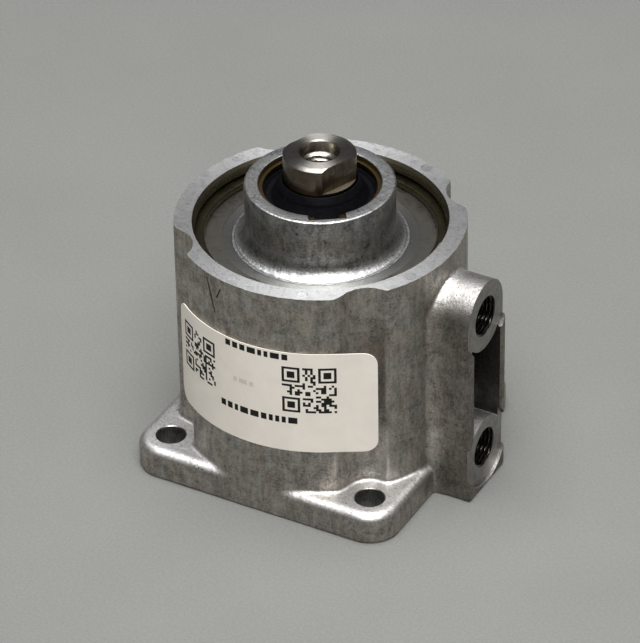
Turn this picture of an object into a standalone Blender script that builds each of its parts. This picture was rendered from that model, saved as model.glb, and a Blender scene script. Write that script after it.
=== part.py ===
"""Short-stroke pneumatic cylinder with a foot flange, modelled as its separate pieces.

Frame: the cylinder axis is Z, the underside of the flange is Z = 0, and the two air
ports look towards +X.  The rod is drawn retracted.  Sizes are millimetres times MM.
"""

import math

import bmesh
import bpy
from mathutils import Matrix, Vector

MM = 0.001
FIT = 0.3           # clearance between neighbouring pieces
SLIDE = 0.2         # clearance of a sliding or rubber fit
PAST = 5.0          # how far a cutter runs past the face it enters

# Driving dimensions
BORE = 50.0
STROKE = 25.0
ROD_DIAMETER = 16.0
BODY_DIAMETER = 64.0
BODY_HEIGHT = 58.0
FLANGE_WIDTH = 64.4
FLANGE_THICKNESS = 7.3
BOLT_PITCH = 50.0
BOLT_HOLE_DIAMETER = 6.6
FLUTE_RADIUS = 6.4
FLOOR_THICKNESS = 6.0
LOWER_PORT_Z = 9.8
PORT_SPACING = 35.0
PORT_BLOCK_FACE_X = 41.0
PORT_PAD_X = 40.2
PORT_BLOCK_WIDTH = 16.6
ROD_END_Z = 75.0
CAP_TOP_Z = 53.2
BOSS_TOP_Z = 67.2

# Sizes that follow from them
BORE_R = BORE / 2
ROD_R = ROD_DIAMETER / 2
BODY_R = BODY_DIAMETER / 2
BOLT_XY = BOLT_PITCH / 2
UPPER_PORT_Z = LOWER_PORT_Z + PORT_SPACING
BLOCK_R = PORT_BLOCK_WIDTH / 2

# Housing
BODY_EDGE = 0.8
FLANGE_CORNER_R = 7.2
FLANGE_EDGE_R = 1.5
BLOCK_EDGE_R = 1.0
CAP_SEAT_R = 27.4
CAP_SEAT_Z = 46.7
RING_GROOVE_R = 28.1
RING_GROOVE_HEIGHT = 1.9
RIM_CHAMFER = 0.6

# Ports and the pocket cast between them
PORT_BORE_R = 4.3
PORT_MOUTH_R = 4.86
PORT_DEPTH = 9.5
PORT_PAD_R = 9.3
PORT_BOSS_R = 8.1
PASSAGE_R = 1.5
LOWER_PASSAGE_Z = 8.2
UPPER_PASSAGE_Z = 45.0
POCKET_HALF_WIDTH = 6.4
POCKET_FLOOR_X = 32.8

# Bearing cap
CAP_R = CAP_SEAT_R - FIT
CAP_UNDERSIDE_Z = CAP_SEAT_Z + FIT
BOSS_R = 16.5
BOSS_FOOT_R = 19.4
BOSS_EDGE = 0.5
BOSS_BORE_R = 13.4
BOSS_BORE_Z = 57.4
BUSH_BORE_R = 10.4
NOTCH_WIDTH = 8.2
NOTCH_DEPTH = 1.6
NOTCH_ANGLE = math.radians(-55)
CAP_O_RING_Z = 50.1
CAP_O_RING_GROOVE_R = 25.1
CAP_O_RING_SECTION_R = 0.95
WIPER_RING_Z = 65.2
WIPER_RING_THICKNESS = 1.0
WIPER_RING_GROOVE_R = 14.4

# Rubber bumpers
BUMPER_MIDDLE_R = 19.0
BUMPER_HALF_WIDTH = 1.8
BUMPER_GROOVE_DEPTH = 1.3
BUMPER_STAND_OUT = 0.7

# Lip seals: how much of the section each lip takes, and how deep the slot between them is
LIP_SHARE = 0.28
LIP_ROOT_SHARE = 0.45
LIP_BACK_RELIEF = 0.15

# Pieces held in the cap
CAP_RING_INNER_R = 25.5
CAP_RING_GAP_ANGLE = math.radians(110)
WIPER_RING_INNER_R = 12.4
ROD_SEAL_TOP_Z = BOSS_BORE_Z + 3.3
SEAL_WASHER_Z = BOSS_BORE_Z + 3.5
SEAL_WASHER_THICKNESS = 0.6
SEAL_WASHER_PLAY = 1.0
BUSH_INSET = 0.5
WIPER_Z = BOSS_BORE_Z + 4.3
WIPER_FACE_Z = 64.1
WIPER_LIP_Z = 68.4
WIPER_LIP_FOOT = 2.4
WIPER_LIP_TIP = 0.5

# Piston and what it carries
PISTON_Z = FLOOR_THICKNESS + BUMPER_STAND_OUT + FIT
PISTON_TOP_Z = CAP_UNDERSIDE_Z - BUMPER_STAND_OUT - FIT - STROKE
PISTON_END_R = 22.0
PISTON_LAND_R = BORE_R - FIT
LAND_LOWER_Z = 9.9
LAND_UPPER_Z = 18.4
LAND_MIDDLE_Z = (LAND_LOWER_Z + LAND_UPPER_Z) / 2
SEAL_GROOVE_R = 21.0
SEAL_GROOVE_HEIGHT = 2.5
LAND_LIP = 0.5
GUIDE_GROOVE_R = 23.0
GUIDE_GROOVE_HEIGHT = 1.3
GUIDE_RING_GAP_ANGLE = math.radians(20)
SCREW_RECESS_R = 7.2
SCREW_RECESS_DEPTH = 5.0
SCREW_HOLE_R = 2.8
ROD_SEAT_Z = 16.5
ROD_O_RING_Z = 18.9
ROD_O_RING_GROOVE_R = 9.95
ROD_O_RING_SECTION_R = 0.75

# Screw and washer under the piston
SCREW_HEAD_INSET = 0.5
SCREW_HEAD_Z = PISTON_Z + SCREW_HEAD_INSET
SCREW_HEAD_R = 5.0
SCREW_HEAD_HEIGHT = 3.0
SCREW_SHANK_R = SCREW_HOLE_R - FIT
SCREW_REACH = 12.0
SCREW_SOCKET_R = 2.3
SCREW_SOCKET_DEPTH = 1.8
SCREW_TIP_CHAMFER = 0.5
SCREW_WASHER_Z = SCREW_HEAD_Z + SCREW_HEAD_HEIGHT + SLIDE

# Rod end
ROD_CHAMFER_DEPTH = 0.55
ROD_CHAMFER_WIDTH = 0.85
FLATS_WIDTH = 13.0
FLATS_LENGTH = 6.0
FLATS_ANGLE = math.radians(-22)
ROD_COUNTERBORE_R = 4.3
ROD_COUNTERBORE_DEPTH = 2.9
ROD_THREAD_R = 3.325
ROD_THREAD_DEPTH = 20.0
ROD_TAP_DEPTH = 13.0

# Identification label
LABEL_HEIGHT = 25.8
LABEL_Z = 18.4
LABEL_LENGTH = 51.8
LABEL_START = math.radians(-132.7)
LABEL_LIFT_OFF = math.radians(-60)
LABEL_CORNER_R = 3.0
LABEL_THICKNESS = 0.2
LABEL_GAP = 0.1
LABEL_STRIPS = 24

HOUSING_SEGMENTS = 48
RING_SEGMENTS = 32
HOLE_SEGMENTS = 20
PASSAGE_SEGMENTS = 12
RING_GAP = math.radians(24)
FULL_TURN = 2 * math.pi


def clear_scene():
    for item in list(bpy.data.objects):
        bpy.data.objects.remove(item, do_unlink=True)


def make_material(name, colour, roughness, metallic):
    material = bpy.data.materials.new(name)
    material.use_nodes = True
    shader = material.node_tree.nodes["Principled BSDF"]
    shader.inputs["Base Color"].default_value = (*colour, 1.0)
    shader.inputs["Roughness"].default_value = roughness
    shader.inputs["Metallic"].default_value = metallic
    return material


def add_object(name, mesh_builder, material=None):
    """Link a new object holding the finished bmesh, with its normals made to face out."""
    bmesh.ops.recalc_face_normals(mesh_builder, faces=mesh_builder.faces)
    mesh = bpy.data.meshes.new(name)
    mesh_builder.to_mesh(mesh)
    mesh_builder.free()
    mesh.shade_smooth()
    mesh.set_sharp_from_angle(angle=math.radians(30))
    piece = bpy.data.objects.new(name, mesh)
    bpy.context.scene.collection.objects.link(piece)
    if material is not None:
        mesh.materials.append(material)
    return piece


def add_cutter(name, mesh_builder):
    cutter = add_object(name, mesh_builder)
    cutter.hide_render = True
    cutter.display_type = "WIRE"
    return cutter


def combine(piece, other, operation):
    modifier = piece.modifiers.new(other.name, "BOOLEAN")
    modifier.operation = operation
    modifier.object = other
    modifier.solver = "EXACT"


def cut(piece, cutter):
    combine(piece, cutter, "DIFFERENCE")


def join(piece, other):
    combine(piece, other, "UNION")


def turned(profile, segments=RING_SEGMENTS):
    """Turn a closed outline of (radius, z) points about Z; points on the axis become poles."""
    builder = bmesh.new()
    columns = []
    for radius, z in profile:
        if radius == 0:
            columns.append([builder.verts.new((0, 0, z * MM))] * segments)
            continue
        column = []
        for step in range(segments):
            angle = FULL_TURN * step / segments
            point = (radius * math.cos(angle) * MM, radius * math.sin(angle) * MM, z * MM)
            column.append(builder.verts.new(point))
        columns.append(column)
    for index, lower in enumerate(columns):
        upper = columns[(index + 1) % len(columns)]
        if lower[0] is lower[1] and upper[0] is upper[1]:
            continue
        for step in range(segments):
            after = (step + 1) % segments
            corners = [lower[step], lower[after], upper[after], upper[step]]
            builder.faces.new(list(dict.fromkeys(corners)))
    return builder


def swept_arc(profile, start, end, segments):
    """Sweep a closed outline of (radius, z) points about Z from one angle to another."""
    builder = bmesh.new()
    sections = []
    for step in range(segments + 1):
        angle = start + (end - start) * step / segments
        section = []
        for radius, z in profile:
            point = (radius * math.cos(angle) * MM, radius * math.sin(angle) * MM, z * MM)
            section.append(builder.verts.new(point))
        sections.append(section)
    count = len(profile)
    for first, second in zip(sections, sections[1:]):
        for index in range(count):
            after = (index + 1) % count
            builder.faces.new((first[index], first[after], second[after], second[index]))
    builder.faces.new(sections[0])
    builder.faces.new(sections[-1])
    return builder


def lofted(rings):
    """Close a stack of equally long point rings with side faces and a cap at each end."""
    builder = bmesh.new()
    rows = []
    for ring in rings:
        rows.append([builder.verts.new(Vector(point) * MM) for point in ring])
    for lower, upper in zip(rows, rows[1:]):
        for index in range(len(lower)):
            after = (index + 1) % len(lower)
            builder.faces.new((lower[index], lower[after], upper[after], upper[index]))
    builder.faces.new(rows[0])
    builder.faces.new(rows[-1])
    return builder


def cylinder_along_z(radius, low, high, segments=HOLE_SEGMENTS):
    return turned([(0, low), (radius, low), (radius, high), (0, high)], segments)


def lay_along_x(builder, z):
    """Turn what stands on Z so that it lies along X at a height."""
    turn = Matrix.Rotation(math.pi / 2, 4, "Y")
    builder.transform(Matrix.Translation((0, 0, z * MM)) @ turn)
    return builder


def box(low, high):
    corners = [(low[0], low[1]), (high[0], low[1]), (high[0], high[1]), (low[0], high[1])]
    return lofted([[(x, y, z) for x, y in corners] for z in (low[2], high[2])])


def arc_points(centre_x, centre_y, radius, start, end, steps):
    points = []
    for step in range(steps + 1):
        angle = start + (end - start) * step / steps
        points.append((centre_x + radius * math.cos(angle), centre_y + radius * math.sin(angle)))
    return points


def round_section(middle_r, middle_z, radius, steps=8):
    return arc_points(middle_r, middle_z, radius, 0, FULL_TURN * (1 - 1 / steps), steps - 1)


def edge_steps(radius, steps=3):
    """Insets and rises that round an edge: how far in, and how far up from its start."""
    pairs = []
    for step in range(steps + 1):
        angle = math.pi / 2 * step / steps
        pairs.append((radius * (1 - math.cos(angle)), radius * math.sin(angle)))
    return pairs


# Housing and its cutters


def rounded_square(half, corner_r, z):
    points = []
    centre = half - corner_r
    for turn, (sx, sy) in enumerate(((1, 1), (-1, 1), (-1, -1), (1, -1))):
        start = turn * math.pi / 2
        points += arc_points(sx * centre, sy * centre, corner_r, start, start + math.pi / 2, 6)
    return [(x, y, z) for x, y in points]


def flange_solid():
    half = FLANGE_WIDTH / 2
    rings = [rounded_square(half, FLANGE_CORNER_R, 0)]
    for inset, rise in edge_steps(FLANGE_EDGE_R):
        z = FLANGE_THICKNESS - FLANGE_EDGE_R + rise
        rings.append(rounded_square(half - inset, FLANGE_CORNER_R - inset, z))
    return lofted(rings)


def body_solid():
    profile = [
        (0, 0),
        (BODY_R, 0),
        (BODY_R, BODY_HEIGHT - BODY_EDGE),
        (BODY_R - BODY_EDGE, BODY_HEIGHT),
        (0, BODY_HEIGHT),
    ]
    return turned(profile, HOUSING_SEGMENTS)


def port_block_ring(x, inset):
    """Outline of the port block at one depth: flat foot, straight sides, half-round top."""
    radius = BLOCK_R - inset
    points = [(-radius, inset), (radius, inset)]
    points += arc_points(0, UPPER_PORT_Z, radius, 0, math.pi, 16)
    return [(x, y, z) for y, z in points]


def port_block_solid():
    rings = [port_block_ring(BORE_R, 0)]
    for inset, rise in edge_steps(BLOCK_EDGE_R):
        rings.append(port_block_ring(PORT_BLOCK_FACE_X - BLOCK_EDGE_R + rise, inset))
    return lofted(rings)


def flute_solids():
    solids = []
    for x in (-BOLT_XY, BOLT_XY):
        for y in (-BOLT_XY, BOLT_XY):
            flute = cylinder_along_z(FLUTE_RADIUS, FLANGE_THICKNESS, BODY_HEIGHT + PAST)
            flute.transform(Matrix.Translation((x * MM, y * MM, 0)))
            solids.append(flute)
    return solids


def bolt_hole_solids():
    solids = []
    for x in (-BOLT_XY, BOLT_XY):
        for y in (-BOLT_XY, BOLT_XY):
            hole = cylinder_along_z(BOLT_HOLE_DIAMETER / 2, -PAST, FLANGE_THICKNESS + PAST)
            hole.transform(Matrix.Translation((x * MM, y * MM, 0)))
            solids.append(hole)
    return solids


def bore_solid():
    """Everything inside the housing: piston bore, bumper groove, cap seat and ring groove."""
    groove_in = BUMPER_MIDDLE_R - BUMPER_HALF_WIDTH - FIT
    groove_out = BUMPER_MIDDLE_R + BUMPER_HALF_WIDTH + FIT
    groove_z = FLOOR_THICKNESS - BUMPER_GROOVE_DEPTH
    profile = [
        (0, FLOOR_THICKNESS),
        (groove_in, FLOOR_THICKNESS),
        (groove_in, groove_z),
        (groove_out, groove_z),
        (groove_out, FLOOR_THICKNESS),
        (BORE_R, FLOOR_THICKNESS),
        (BORE_R, CAP_SEAT_Z),
        (CAP_SEAT_R, CAP_SEAT_Z),
        (CAP_SEAT_R, CAP_TOP_Z),
        (RING_GROOVE_R, CAP_TOP_Z),
        (RING_GROOVE_R, CAP_TOP_Z + RING_GROOVE_HEIGHT),
        (CAP_SEAT_R, CAP_TOP_Z + RING_GROOVE_HEIGHT),
        (CAP_SEAT_R, BODY_HEIGHT - RIM_CHAMFER),
        (CAP_SEAT_R + RIM_CHAMFER, BODY_HEIGHT),
        (CAP_SEAT_R + RIM_CHAMFER, BODY_HEIGHT + PAST),
        (0, BODY_HEIGHT + PAST),
    ]
    return turned(profile, HOUSING_SEGMENTS)


def port_solid(port_z):
    """Spot face, chamfered mouth and threaded socket of one air port."""
    socket_end = PORT_PAD_X - PORT_DEPTH
    chamfer_end = PORT_PAD_X - (PORT_MOUTH_R - PORT_BORE_R)
    outside = PORT_BLOCK_FACE_X + PAST
    profile = [
        (0, socket_end),
        (PORT_BORE_R, socket_end),
        (PORT_BORE_R, chamfer_end),
        (PORT_MOUTH_R, PORT_PAD_X),
        (PORT_PAD_R, PORT_PAD_X),
        (PORT_PAD_R, outside),
        (0, outside),
    ]
    return lay_along_x(turned(profile, HOLE_SEGMENTS), port_z)


def passage_solid(passage_z):
    inside = BORE_R - PAST
    outside = PORT_PAD_X - PORT_DEPTH + PASSAGE_R
    return lay_along_x(cylinder_along_z(PASSAGE_R, inside, outside, PASSAGE_SEGMENTS), passage_z)


def pocket_solid():
    """Hollow between the two port bosses, following their round sides at each end."""
    half_angle = math.asin(POCKET_HALF_WIDTH / PORT_BOSS_R)
    up = math.pi / 2
    outline = arc_points(0, LOWER_PORT_Z, PORT_BOSS_R, up + half_angle, up - half_angle, 8)
    outline += arc_points(0, UPPER_PORT_Z, PORT_BOSS_R, half_angle - up, -half_angle - up, 8)
    rings = []
    for x in (POCKET_FLOOR_X, PORT_BLOCK_FACE_X + PAST):
        rings.append([(x, y, z) for y, z in outline])
    return lofted(rings)


def build_housing(material):
    housing = add_object("housing", body_solid(), material)
    join(housing, add_cutter("flange_block", flange_solid()))
    join(housing, add_cutter("port_block", port_block_solid()))
    for index, flute in enumerate(flute_solids()):
        cut(housing, add_cutter(f"flute_{index}", flute))
    for index, hole in enumerate(bolt_hole_solids()):
        cut(housing, add_cutter(f"bolt_hole_{index}", hole))
    cut(housing, add_cutter("bore", bore_solid()))
    cut(housing, add_cutter("port_pocket", pocket_solid()))
    for name, port_z, passage_z in (
        ("lower", LOWER_PORT_Z, LOWER_PASSAGE_Z),
        ("upper", UPPER_PORT_Z, UPPER_PASSAGE_Z),
    ):
        cut(housing, add_cutter(f"{name}_port", port_solid(port_z)))
        cut(housing, add_cutter(f"{name}_passage", passage_solid(passage_z)))
    return housing


# Bearing cap and the pieces it holds


def cap_profile():
    groove_in = BUMPER_MIDDLE_R - BUMPER_HALF_WIDTH - FIT
    groove_out = BUMPER_MIDDLE_R + BUMPER_HALF_WIDTH + FIT
    groove_z = CAP_UNDERSIDE_Z + BUMPER_GROOVE_DEPTH
    o_ring_half = CAP_O_RING_SECTION_R + FIT
    ring_low = WIPER_RING_Z - SLIDE
    ring_high = WIPER_RING_Z + WIPER_RING_THICKNESS + SLIDE
    foot = BOSS_FOOT_R - BOSS_R
    fillet = arc_points(BOSS_FOOT_R, CAP_TOP_Z + foot, foot, -math.pi / 2, -math.pi, 6)
    return [
        (BUSH_BORE_R, CAP_UNDERSIDE_Z),
        (groove_in, CAP_UNDERSIDE_Z),
        (groove_in, groove_z),
        (groove_out, groove_z),
        (groove_out, CAP_UNDERSIDE_Z),
        (CAP_R, CAP_UNDERSIDE_Z),
        (CAP_R, CAP_O_RING_Z - o_ring_half),
        (CAP_O_RING_GROOVE_R, CAP_O_RING_Z - o_ring_half),
        (CAP_O_RING_GROOVE_R, CAP_O_RING_Z + o_ring_half),
        (CAP_R, CAP_O_RING_Z + o_ring_half),
        (CAP_R, CAP_TOP_Z),
        *fillet,
        (BOSS_R, BOSS_TOP_Z - BOSS_EDGE),
        (BOSS_R - BOSS_EDGE, BOSS_TOP_Z),
        (BOSS_BORE_R, BOSS_TOP_Z),
        (BOSS_BORE_R, ring_high),
        (WIPER_RING_GROOVE_R, ring_high),
        (WIPER_RING_GROOVE_R, ring_low),
        (BOSS_BORE_R, ring_low),
        (BOSS_BORE_R, BOSS_BORE_Z),
        (BUSH_BORE_R, BOSS_BORE_Z),
    ]


def build_bearing_cap(material):
    cap = add_object("bearing_cap", turned(cap_profile(), HOUSING_SEGMENTS), material)
    inner = BOSS_BORE_R - 2
    notch = box(
        (inner, -NOTCH_WIDTH / 2, WIPER_RING_Z),
        (BOSS_BORE_R + NOTCH_DEPTH, NOTCH_WIDTH / 2, BOSS_TOP_Z + PAST),
    )
    notch.transform(Matrix.Rotation(NOTCH_ANGLE, 4, "Z"))
    cut(cap, add_cutter("ring_notch", notch))
    return cap


def build_o_ring(name, middle_r, middle_z, section_r, material):
    section = round_section(middle_r, middle_z, section_r)
    return add_object(name, turned(section), material)


def build_plain_ring(name, inner, outer, low, high, material):
    profile = [(inner, low), (outer, low), (outer, high), (inner, high)]
    return add_object(name, turned(profile), material)


def build_snap_ring(name, inner, outer, low, thickness, middle_angle, material):
    """Open ring whose gap is centred on an angle."""
    high = low + thickness
    profile = [(inner, low), (outer, low), (outer, high), (inner, high)]
    start = middle_angle + RING_GAP / 2
    end = middle_angle + FULL_TURN - RING_GAP / 2
    return add_object(name, swept_arc(profile, start, end, RING_SEGMENTS), material)


def lip_profile(inner, outer, back, front):
    """U-shaped seal section whose two lips open towards its front."""
    middle = (inner + outer) / 2
    lip = (outer - inner) * LIP_SHARE
    root = back + (front - back) * LIP_ROOT_SHARE
    return [
        (inner, back),
        (outer - LIP_BACK_RELIEF, back),
        (outer, front),
        (outer - lip, front),
        (middle, root),
        (inner + lip, front),
        (inner, front),
    ]


def build_lip_seal(name, inner, outer, back, front, material):
    return add_object(name, turned(lip_profile(inner, outer, back, front)), material)


def build_rod_wiper(material):
    """Wiper with a flat face and a tapered lip that stands up round the rod."""
    inner = ROD_R + SLIDE
    outer = BOSS_BORE_R - SLIDE
    profile = [
        (inner, WIPER_Z),
        (outer, WIPER_Z),
        (outer, WIPER_FACE_Z),
        (inner + WIPER_LIP_FOOT, WIPER_FACE_Z),
        (inner + WIPER_LIP_TIP, WIPER_LIP_Z),
        (inner, WIPER_LIP_Z),
    ]
    return add_object("rod_wiper", turned(profile), material)


def build_bumpers(material):
    for name, low in (
        ("upper_bumper", CAP_UNDERSIDE_Z - BUMPER_STAND_OUT),
        ("lower_bumper", FLOOR_THICKNESS - BUMPER_GROOVE_DEPTH + FIT),
    ):
        high = low + BUMPER_STAND_OUT + BUMPER_GROOVE_DEPTH - FIT
        inner = BUMPER_MIDDLE_R - BUMPER_HALF_WIDTH
        outer = BUMPER_MIDDLE_R + BUMPER_HALF_WIDTH
        build_plain_ring(name, inner, outer, low, high, material)


def build_cap_pieces(materials):
    rubber = materials["rubber"]
    outer = BOSS_BORE_R - SLIDE
    build_o_ring(
        "cap_o_ring",
        CAP_O_RING_GROOVE_R + SLIDE + CAP_O_RING_SECTION_R,
        CAP_O_RING_Z,
        CAP_O_RING_SECTION_R,
        rubber,
    )
    build_snap_ring(
        "cap_retaining_ring",
        CAP_RING_INNER_R,
        RING_GROOVE_R - SLIDE,
        CAP_TOP_Z + SLIDE,
        RING_GROOVE_HEIGHT - 2 * SLIDE,
        CAP_RING_GAP_ANGLE,
        materials["zinc"],
    )
    build_plain_ring(
        "rod_bush",
        ROD_R + SLIDE,
        BUSH_BORE_R - SLIDE,
        CAP_UNDERSIDE_Z + BUSH_INSET,
        BOSS_BORE_Z - SLIDE,
        materials["bronze"],
    )
    build_lip_seal("rod_seal", ROD_R + SLIDE, outer, ROD_SEAL_TOP_Z, BOSS_BORE_Z + SLIDE, rubber)
    build_plain_ring(
        "seal_washer",
        ROD_R + SEAL_WASHER_PLAY,
        outer,
        SEAL_WASHER_Z,
        SEAL_WASHER_Z + SEAL_WASHER_THICKNESS,
        materials["steel"],
    )
    build_rod_wiper(rubber)
    build_snap_ring(
        "wiper_retaining_ring",
        WIPER_RING_INNER_R,
        WIPER_RING_GROOVE_R - SLIDE,
        WIPER_RING_Z,
        WIPER_RING_THICKNESS,
        NOTCH_ANGLE,
        materials["zinc"],
    )
    build_bumpers(rubber)


# Piston, rod and the pieces that travel with them


def grooved_land():
    """Outer points of the piston land from bottom to top: seal, guide ring, seal."""
    guide_half = GUIDE_GROOVE_HEIGHT / 2
    lower = LAND_LOWER_Z + LAND_LIP
    upper = LAND_UPPER_Z - LAND_LIP
    grooves = (
        (lower, lower + SEAL_GROOVE_HEIGHT, SEAL_GROOVE_R),
        (LAND_MIDDLE_Z - guide_half, LAND_MIDDLE_Z + guide_half, GUIDE_GROOVE_R),
        (upper - SEAL_GROOVE_HEIGHT, upper, SEAL_GROOVE_R),
    )
    points = [(PISTON_LAND_R, LAND_LOWER_Z)]
    for low, high, root in grooves:
        points += [(PISTON_LAND_R, low), (root, low), (root, high), (PISTON_LAND_R, high)]
    points.append((PISTON_LAND_R, LAND_UPPER_Z))
    return points


def build_piston(material):
    rod_recess_r = ROD_R + FIT
    o_ring_half = ROD_O_RING_SECTION_R + FIT
    profile = [
        (SCREW_RECESS_R, PISTON_Z),
        (PISTON_END_R, PISTON_Z),
        (PISTON_END_R, LAND_LOWER_Z),
        *grooved_land(),
        (PISTON_END_R, LAND_UPPER_Z),
        (PISTON_END_R, PISTON_TOP_Z),
        (rod_recess_r, PISTON_TOP_Z),
        (rod_recess_r, ROD_O_RING_Z + o_ring_half),
        (ROD_O_RING_GROOVE_R, ROD_O_RING_Z + o_ring_half),
        (ROD_O_RING_GROOVE_R, ROD_O_RING_Z - o_ring_half),
        (rod_recess_r, ROD_O_RING_Z - o_ring_half),
        (rod_recess_r, ROD_SEAT_Z),
        (SCREW_HOLE_R, ROD_SEAT_Z),
        (SCREW_HOLE_R, PISTON_Z + SCREW_RECESS_DEPTH),
        (SCREW_RECESS_R, PISTON_Z + SCREW_RECESS_DEPTH),
    ]
    return add_object("piston", turned(profile), material)


def build_piston_seals(materials):
    inner = SEAL_GROOVE_R + SLIDE
    outer = BORE_R - SLIDE
    lower = LAND_LOWER_Z + LAND_LIP
    upper = LAND_UPPER_Z - LAND_LIP
    rubber = materials["rubber"]
    build_lip_seal(
        "lower_piston_seal",
        inner,
        outer,
        lower + SEAL_GROOVE_HEIGHT - SLIDE,
        lower + SLIDE,
        rubber,
    )
    build_lip_seal(
        "upper_piston_seal",
        inner,
        outer,
        upper - SEAL_GROOVE_HEIGHT + SLIDE,
        upper - SLIDE,
        rubber,
    )
    build_snap_ring(
        "piston_guide_ring",
        GUIDE_GROOVE_R + SLIDE,
        outer,
        LAND_MIDDLE_Z - GUIDE_GROOVE_HEIGHT / 2 + SLIDE,
        GUIDE_GROOVE_HEIGHT - 2 * SLIDE,
        GUIDE_RING_GAP_ANGLE,
        materials["guide"],
    )


def build_piston_rod(material):
    foot = ROD_SEAT_Z + FIT
    thread_end = ROD_END_Z - ROD_THREAD_DEPTH
    counterbore_floor = ROD_END_Z - ROD_COUNTERBORE_DEPTH
    tap_end = foot + ROD_TAP_DEPTH
    profile = [
        (0, tap_end),
        (SCREW_HOLE_R, tap_end),
        (SCREW_HOLE_R, foot),
        (ROD_R, foot),
        (ROD_R, ROD_END_Z - ROD_CHAMFER_DEPTH),
        (ROD_R - ROD_CHAMFER_WIDTH, ROD_END_Z),
        (ROD_COUNTERBORE_R, ROD_END_Z),
        (ROD_COUNTERBORE_R, counterbore_floor),
        (ROD_THREAD_R, counterbore_floor - (ROD_COUNTERBORE_R - ROD_THREAD_R)),
        (ROD_THREAD_R, thread_end),
        (0, thread_end - ROD_THREAD_R / 2),
    ]
    rod = add_object("piston_rod", turned(profile), material)
    for index, side in enumerate((1, -1)):
        near = side * FLATS_WIDTH / 2
        far = side * (ROD_R + PAST)
        low = (min(near, far), -ROD_R, ROD_END_Z - FLATS_LENGTH)
        high = (max(near, far), ROD_R, ROD_END_Z + PAST)
        flat = box(low, high)
        flat.transform(Matrix.Rotation(FLATS_ANGLE, 4, "Z"))
        cut(rod, add_cutter(f"wrench_flat_{index}", flat))
    return rod


def build_piston_screw(material):
    """Socket head screw, head down, that pulls the piston onto the rod."""
    head_top = SCREW_HEAD_Z + SCREW_HEAD_HEIGHT
    tip = ROD_SEAT_Z + SCREW_REACH
    profile = [
        (0, SCREW_HEAD_Z),
        (SCREW_HEAD_R, SCREW_HEAD_Z),
        (SCREW_HEAD_R, head_top),
        (SCREW_SHANK_R, head_top),
        (SCREW_SHANK_R, tip - SCREW_TIP_CHAMFER),
        (0, tip),
    ]
    screw = add_object("piston_screw", turned(profile, HOLE_SEGMENTS), material)
    socket_top = SCREW_HEAD_Z + SCREW_SOCKET_DEPTH
    socket = cylinder_along_z(SCREW_SOCKET_R, SCREW_HEAD_Z - PAST, socket_top, 6)
    cut(screw, add_cutter("screw_socket", socket))
    return screw


def build_rod_pieces(materials):
    build_piston(materials["piston"])
    build_piston_rod(materials["stainless"])
    build_piston_screw(materials["steel"])
    build_plain_ring(
        "piston_screw_washer",
        SCREW_HOLE_R,
        SCREW_RECESS_R - FIT,
        SCREW_WASHER_Z,
        PISTON_Z + SCREW_RECESS_DEPTH - SLIDE,
        materials["steel"],
    )
    build_o_ring(
        "rod_o_ring",
        ROD_R + SLIDE + ROD_O_RING_SECTION_R,
        ROD_O_RING_Z,
        ROD_O_RING_SECTION_R,
        materials["rubber"],
    )


# Identification label


def label_point(along, gap, z):
    """Point of the label: round the body first, then straight on over the flute."""
    radius = BODY_R + gap
    lift_off = (LABEL_LIFT_OFF - LABEL_START) * BODY_R
    angle = LABEL_START + min(along, lift_off) / BODY_R
    straight = max(along - lift_off, 0)
    x = radius * math.cos(angle) - straight * math.sin(angle)
    y = radius * math.sin(angle) + straight * math.cos(angle)
    return (x * MM, y * MM, z * MM)


def label_stations():
    """Distances along the label, closer together at the rounded ends."""
    corner = LABEL_CORNER_R
    far = LABEL_LENGTH - corner
    stations = [along for along, _ in arc_points(corner, 0, corner, math.pi, math.pi / 2, 4)]
    for strip in range(1, LABEL_STRIPS):
        stations.append(corner + (far - corner) * strip / LABEL_STRIPS)
    return stations + [along for along, _ in arc_points(far, 0, corner, math.pi / 2, 0, 4)]


def build_label(material):
    """Thin sheet on the body, with rounded corners."""
    corner = LABEL_CORNER_R
    top = LABEL_Z + LABEL_HEIGHT
    builder = bmesh.new()
    sections = []
    for along in label_stations():
        reach = max(corner - along, along - (LABEL_LENGTH - corner), 0)
        rounding = corner - math.sqrt(max(corner ** 2 - reach ** 2, 0))
        section = []
        for gap, z in (
            (LABEL_GAP, LABEL_Z + rounding),
            (LABEL_GAP + LABEL_THICKNESS, LABEL_Z + rounding),
            (LABEL_GAP + LABEL_THICKNESS, top - rounding),
            (LABEL_GAP, top - rounding),
        ):
            section.append(builder.verts.new(label_point(along, gap, z)))
        sections.append(section)
    for first, second in zip(sections, sections[1:]):
        for index in range(4):
            after = (index + 1) % 4
            builder.faces.new((first[index], first[after], second[after], second[index]))
    builder.faces.new(sections[0])
    builder.faces.new(sections[-1])
    return add_object("identification_label", builder, material)


def make_materials():
    return {
        "cast": make_material("cast_aluminium", (0.46, 0.45, 0.43), 0.45, 1.0),
        "cap": make_material("cast_aluminium_cap", (0.52, 0.52, 0.52), 0.40, 1.0),
        "piston": make_material("turned_aluminium", (0.70, 0.70, 0.70), 0.30, 1.0),
        "stainless": make_material("stainless_steel", (0.50, 0.47, 0.42), 0.22, 1.0),
        "steel": make_material("bright_steel", (0.55, 0.55, 0.55), 0.30, 1.0),
        "zinc": make_material("yellow_zinc_steel", (0.55, 0.42, 0.16), 0.30, 1.0),
        "bronze": make_material("sintered_bronze", (0.45, 0.28, 0.12), 0.50, 1.0),
        "rubber": make_material("nitrile_rubber", (0.015, 0.015, 0.016), 0.55, 0.0),
        "guide": make_material("guide_ring_plastic", (0.35, 0.22, 0.12), 0.60, 0.0),
        "paper": make_material("label_paper", (0.58, 0.54, 0.47), 0.70, 0.0),
    }


def main():
    clear_scene()
    materials = make_materials()
    build_housing(materials["cast"])
    build_bearing_cap(materials["cap"])
    build_cap_pieces(materials)
    build_piston_seals(materials)
    build_rod_pieces(materials)
    build_label(materials["paper"])


main()
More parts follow.
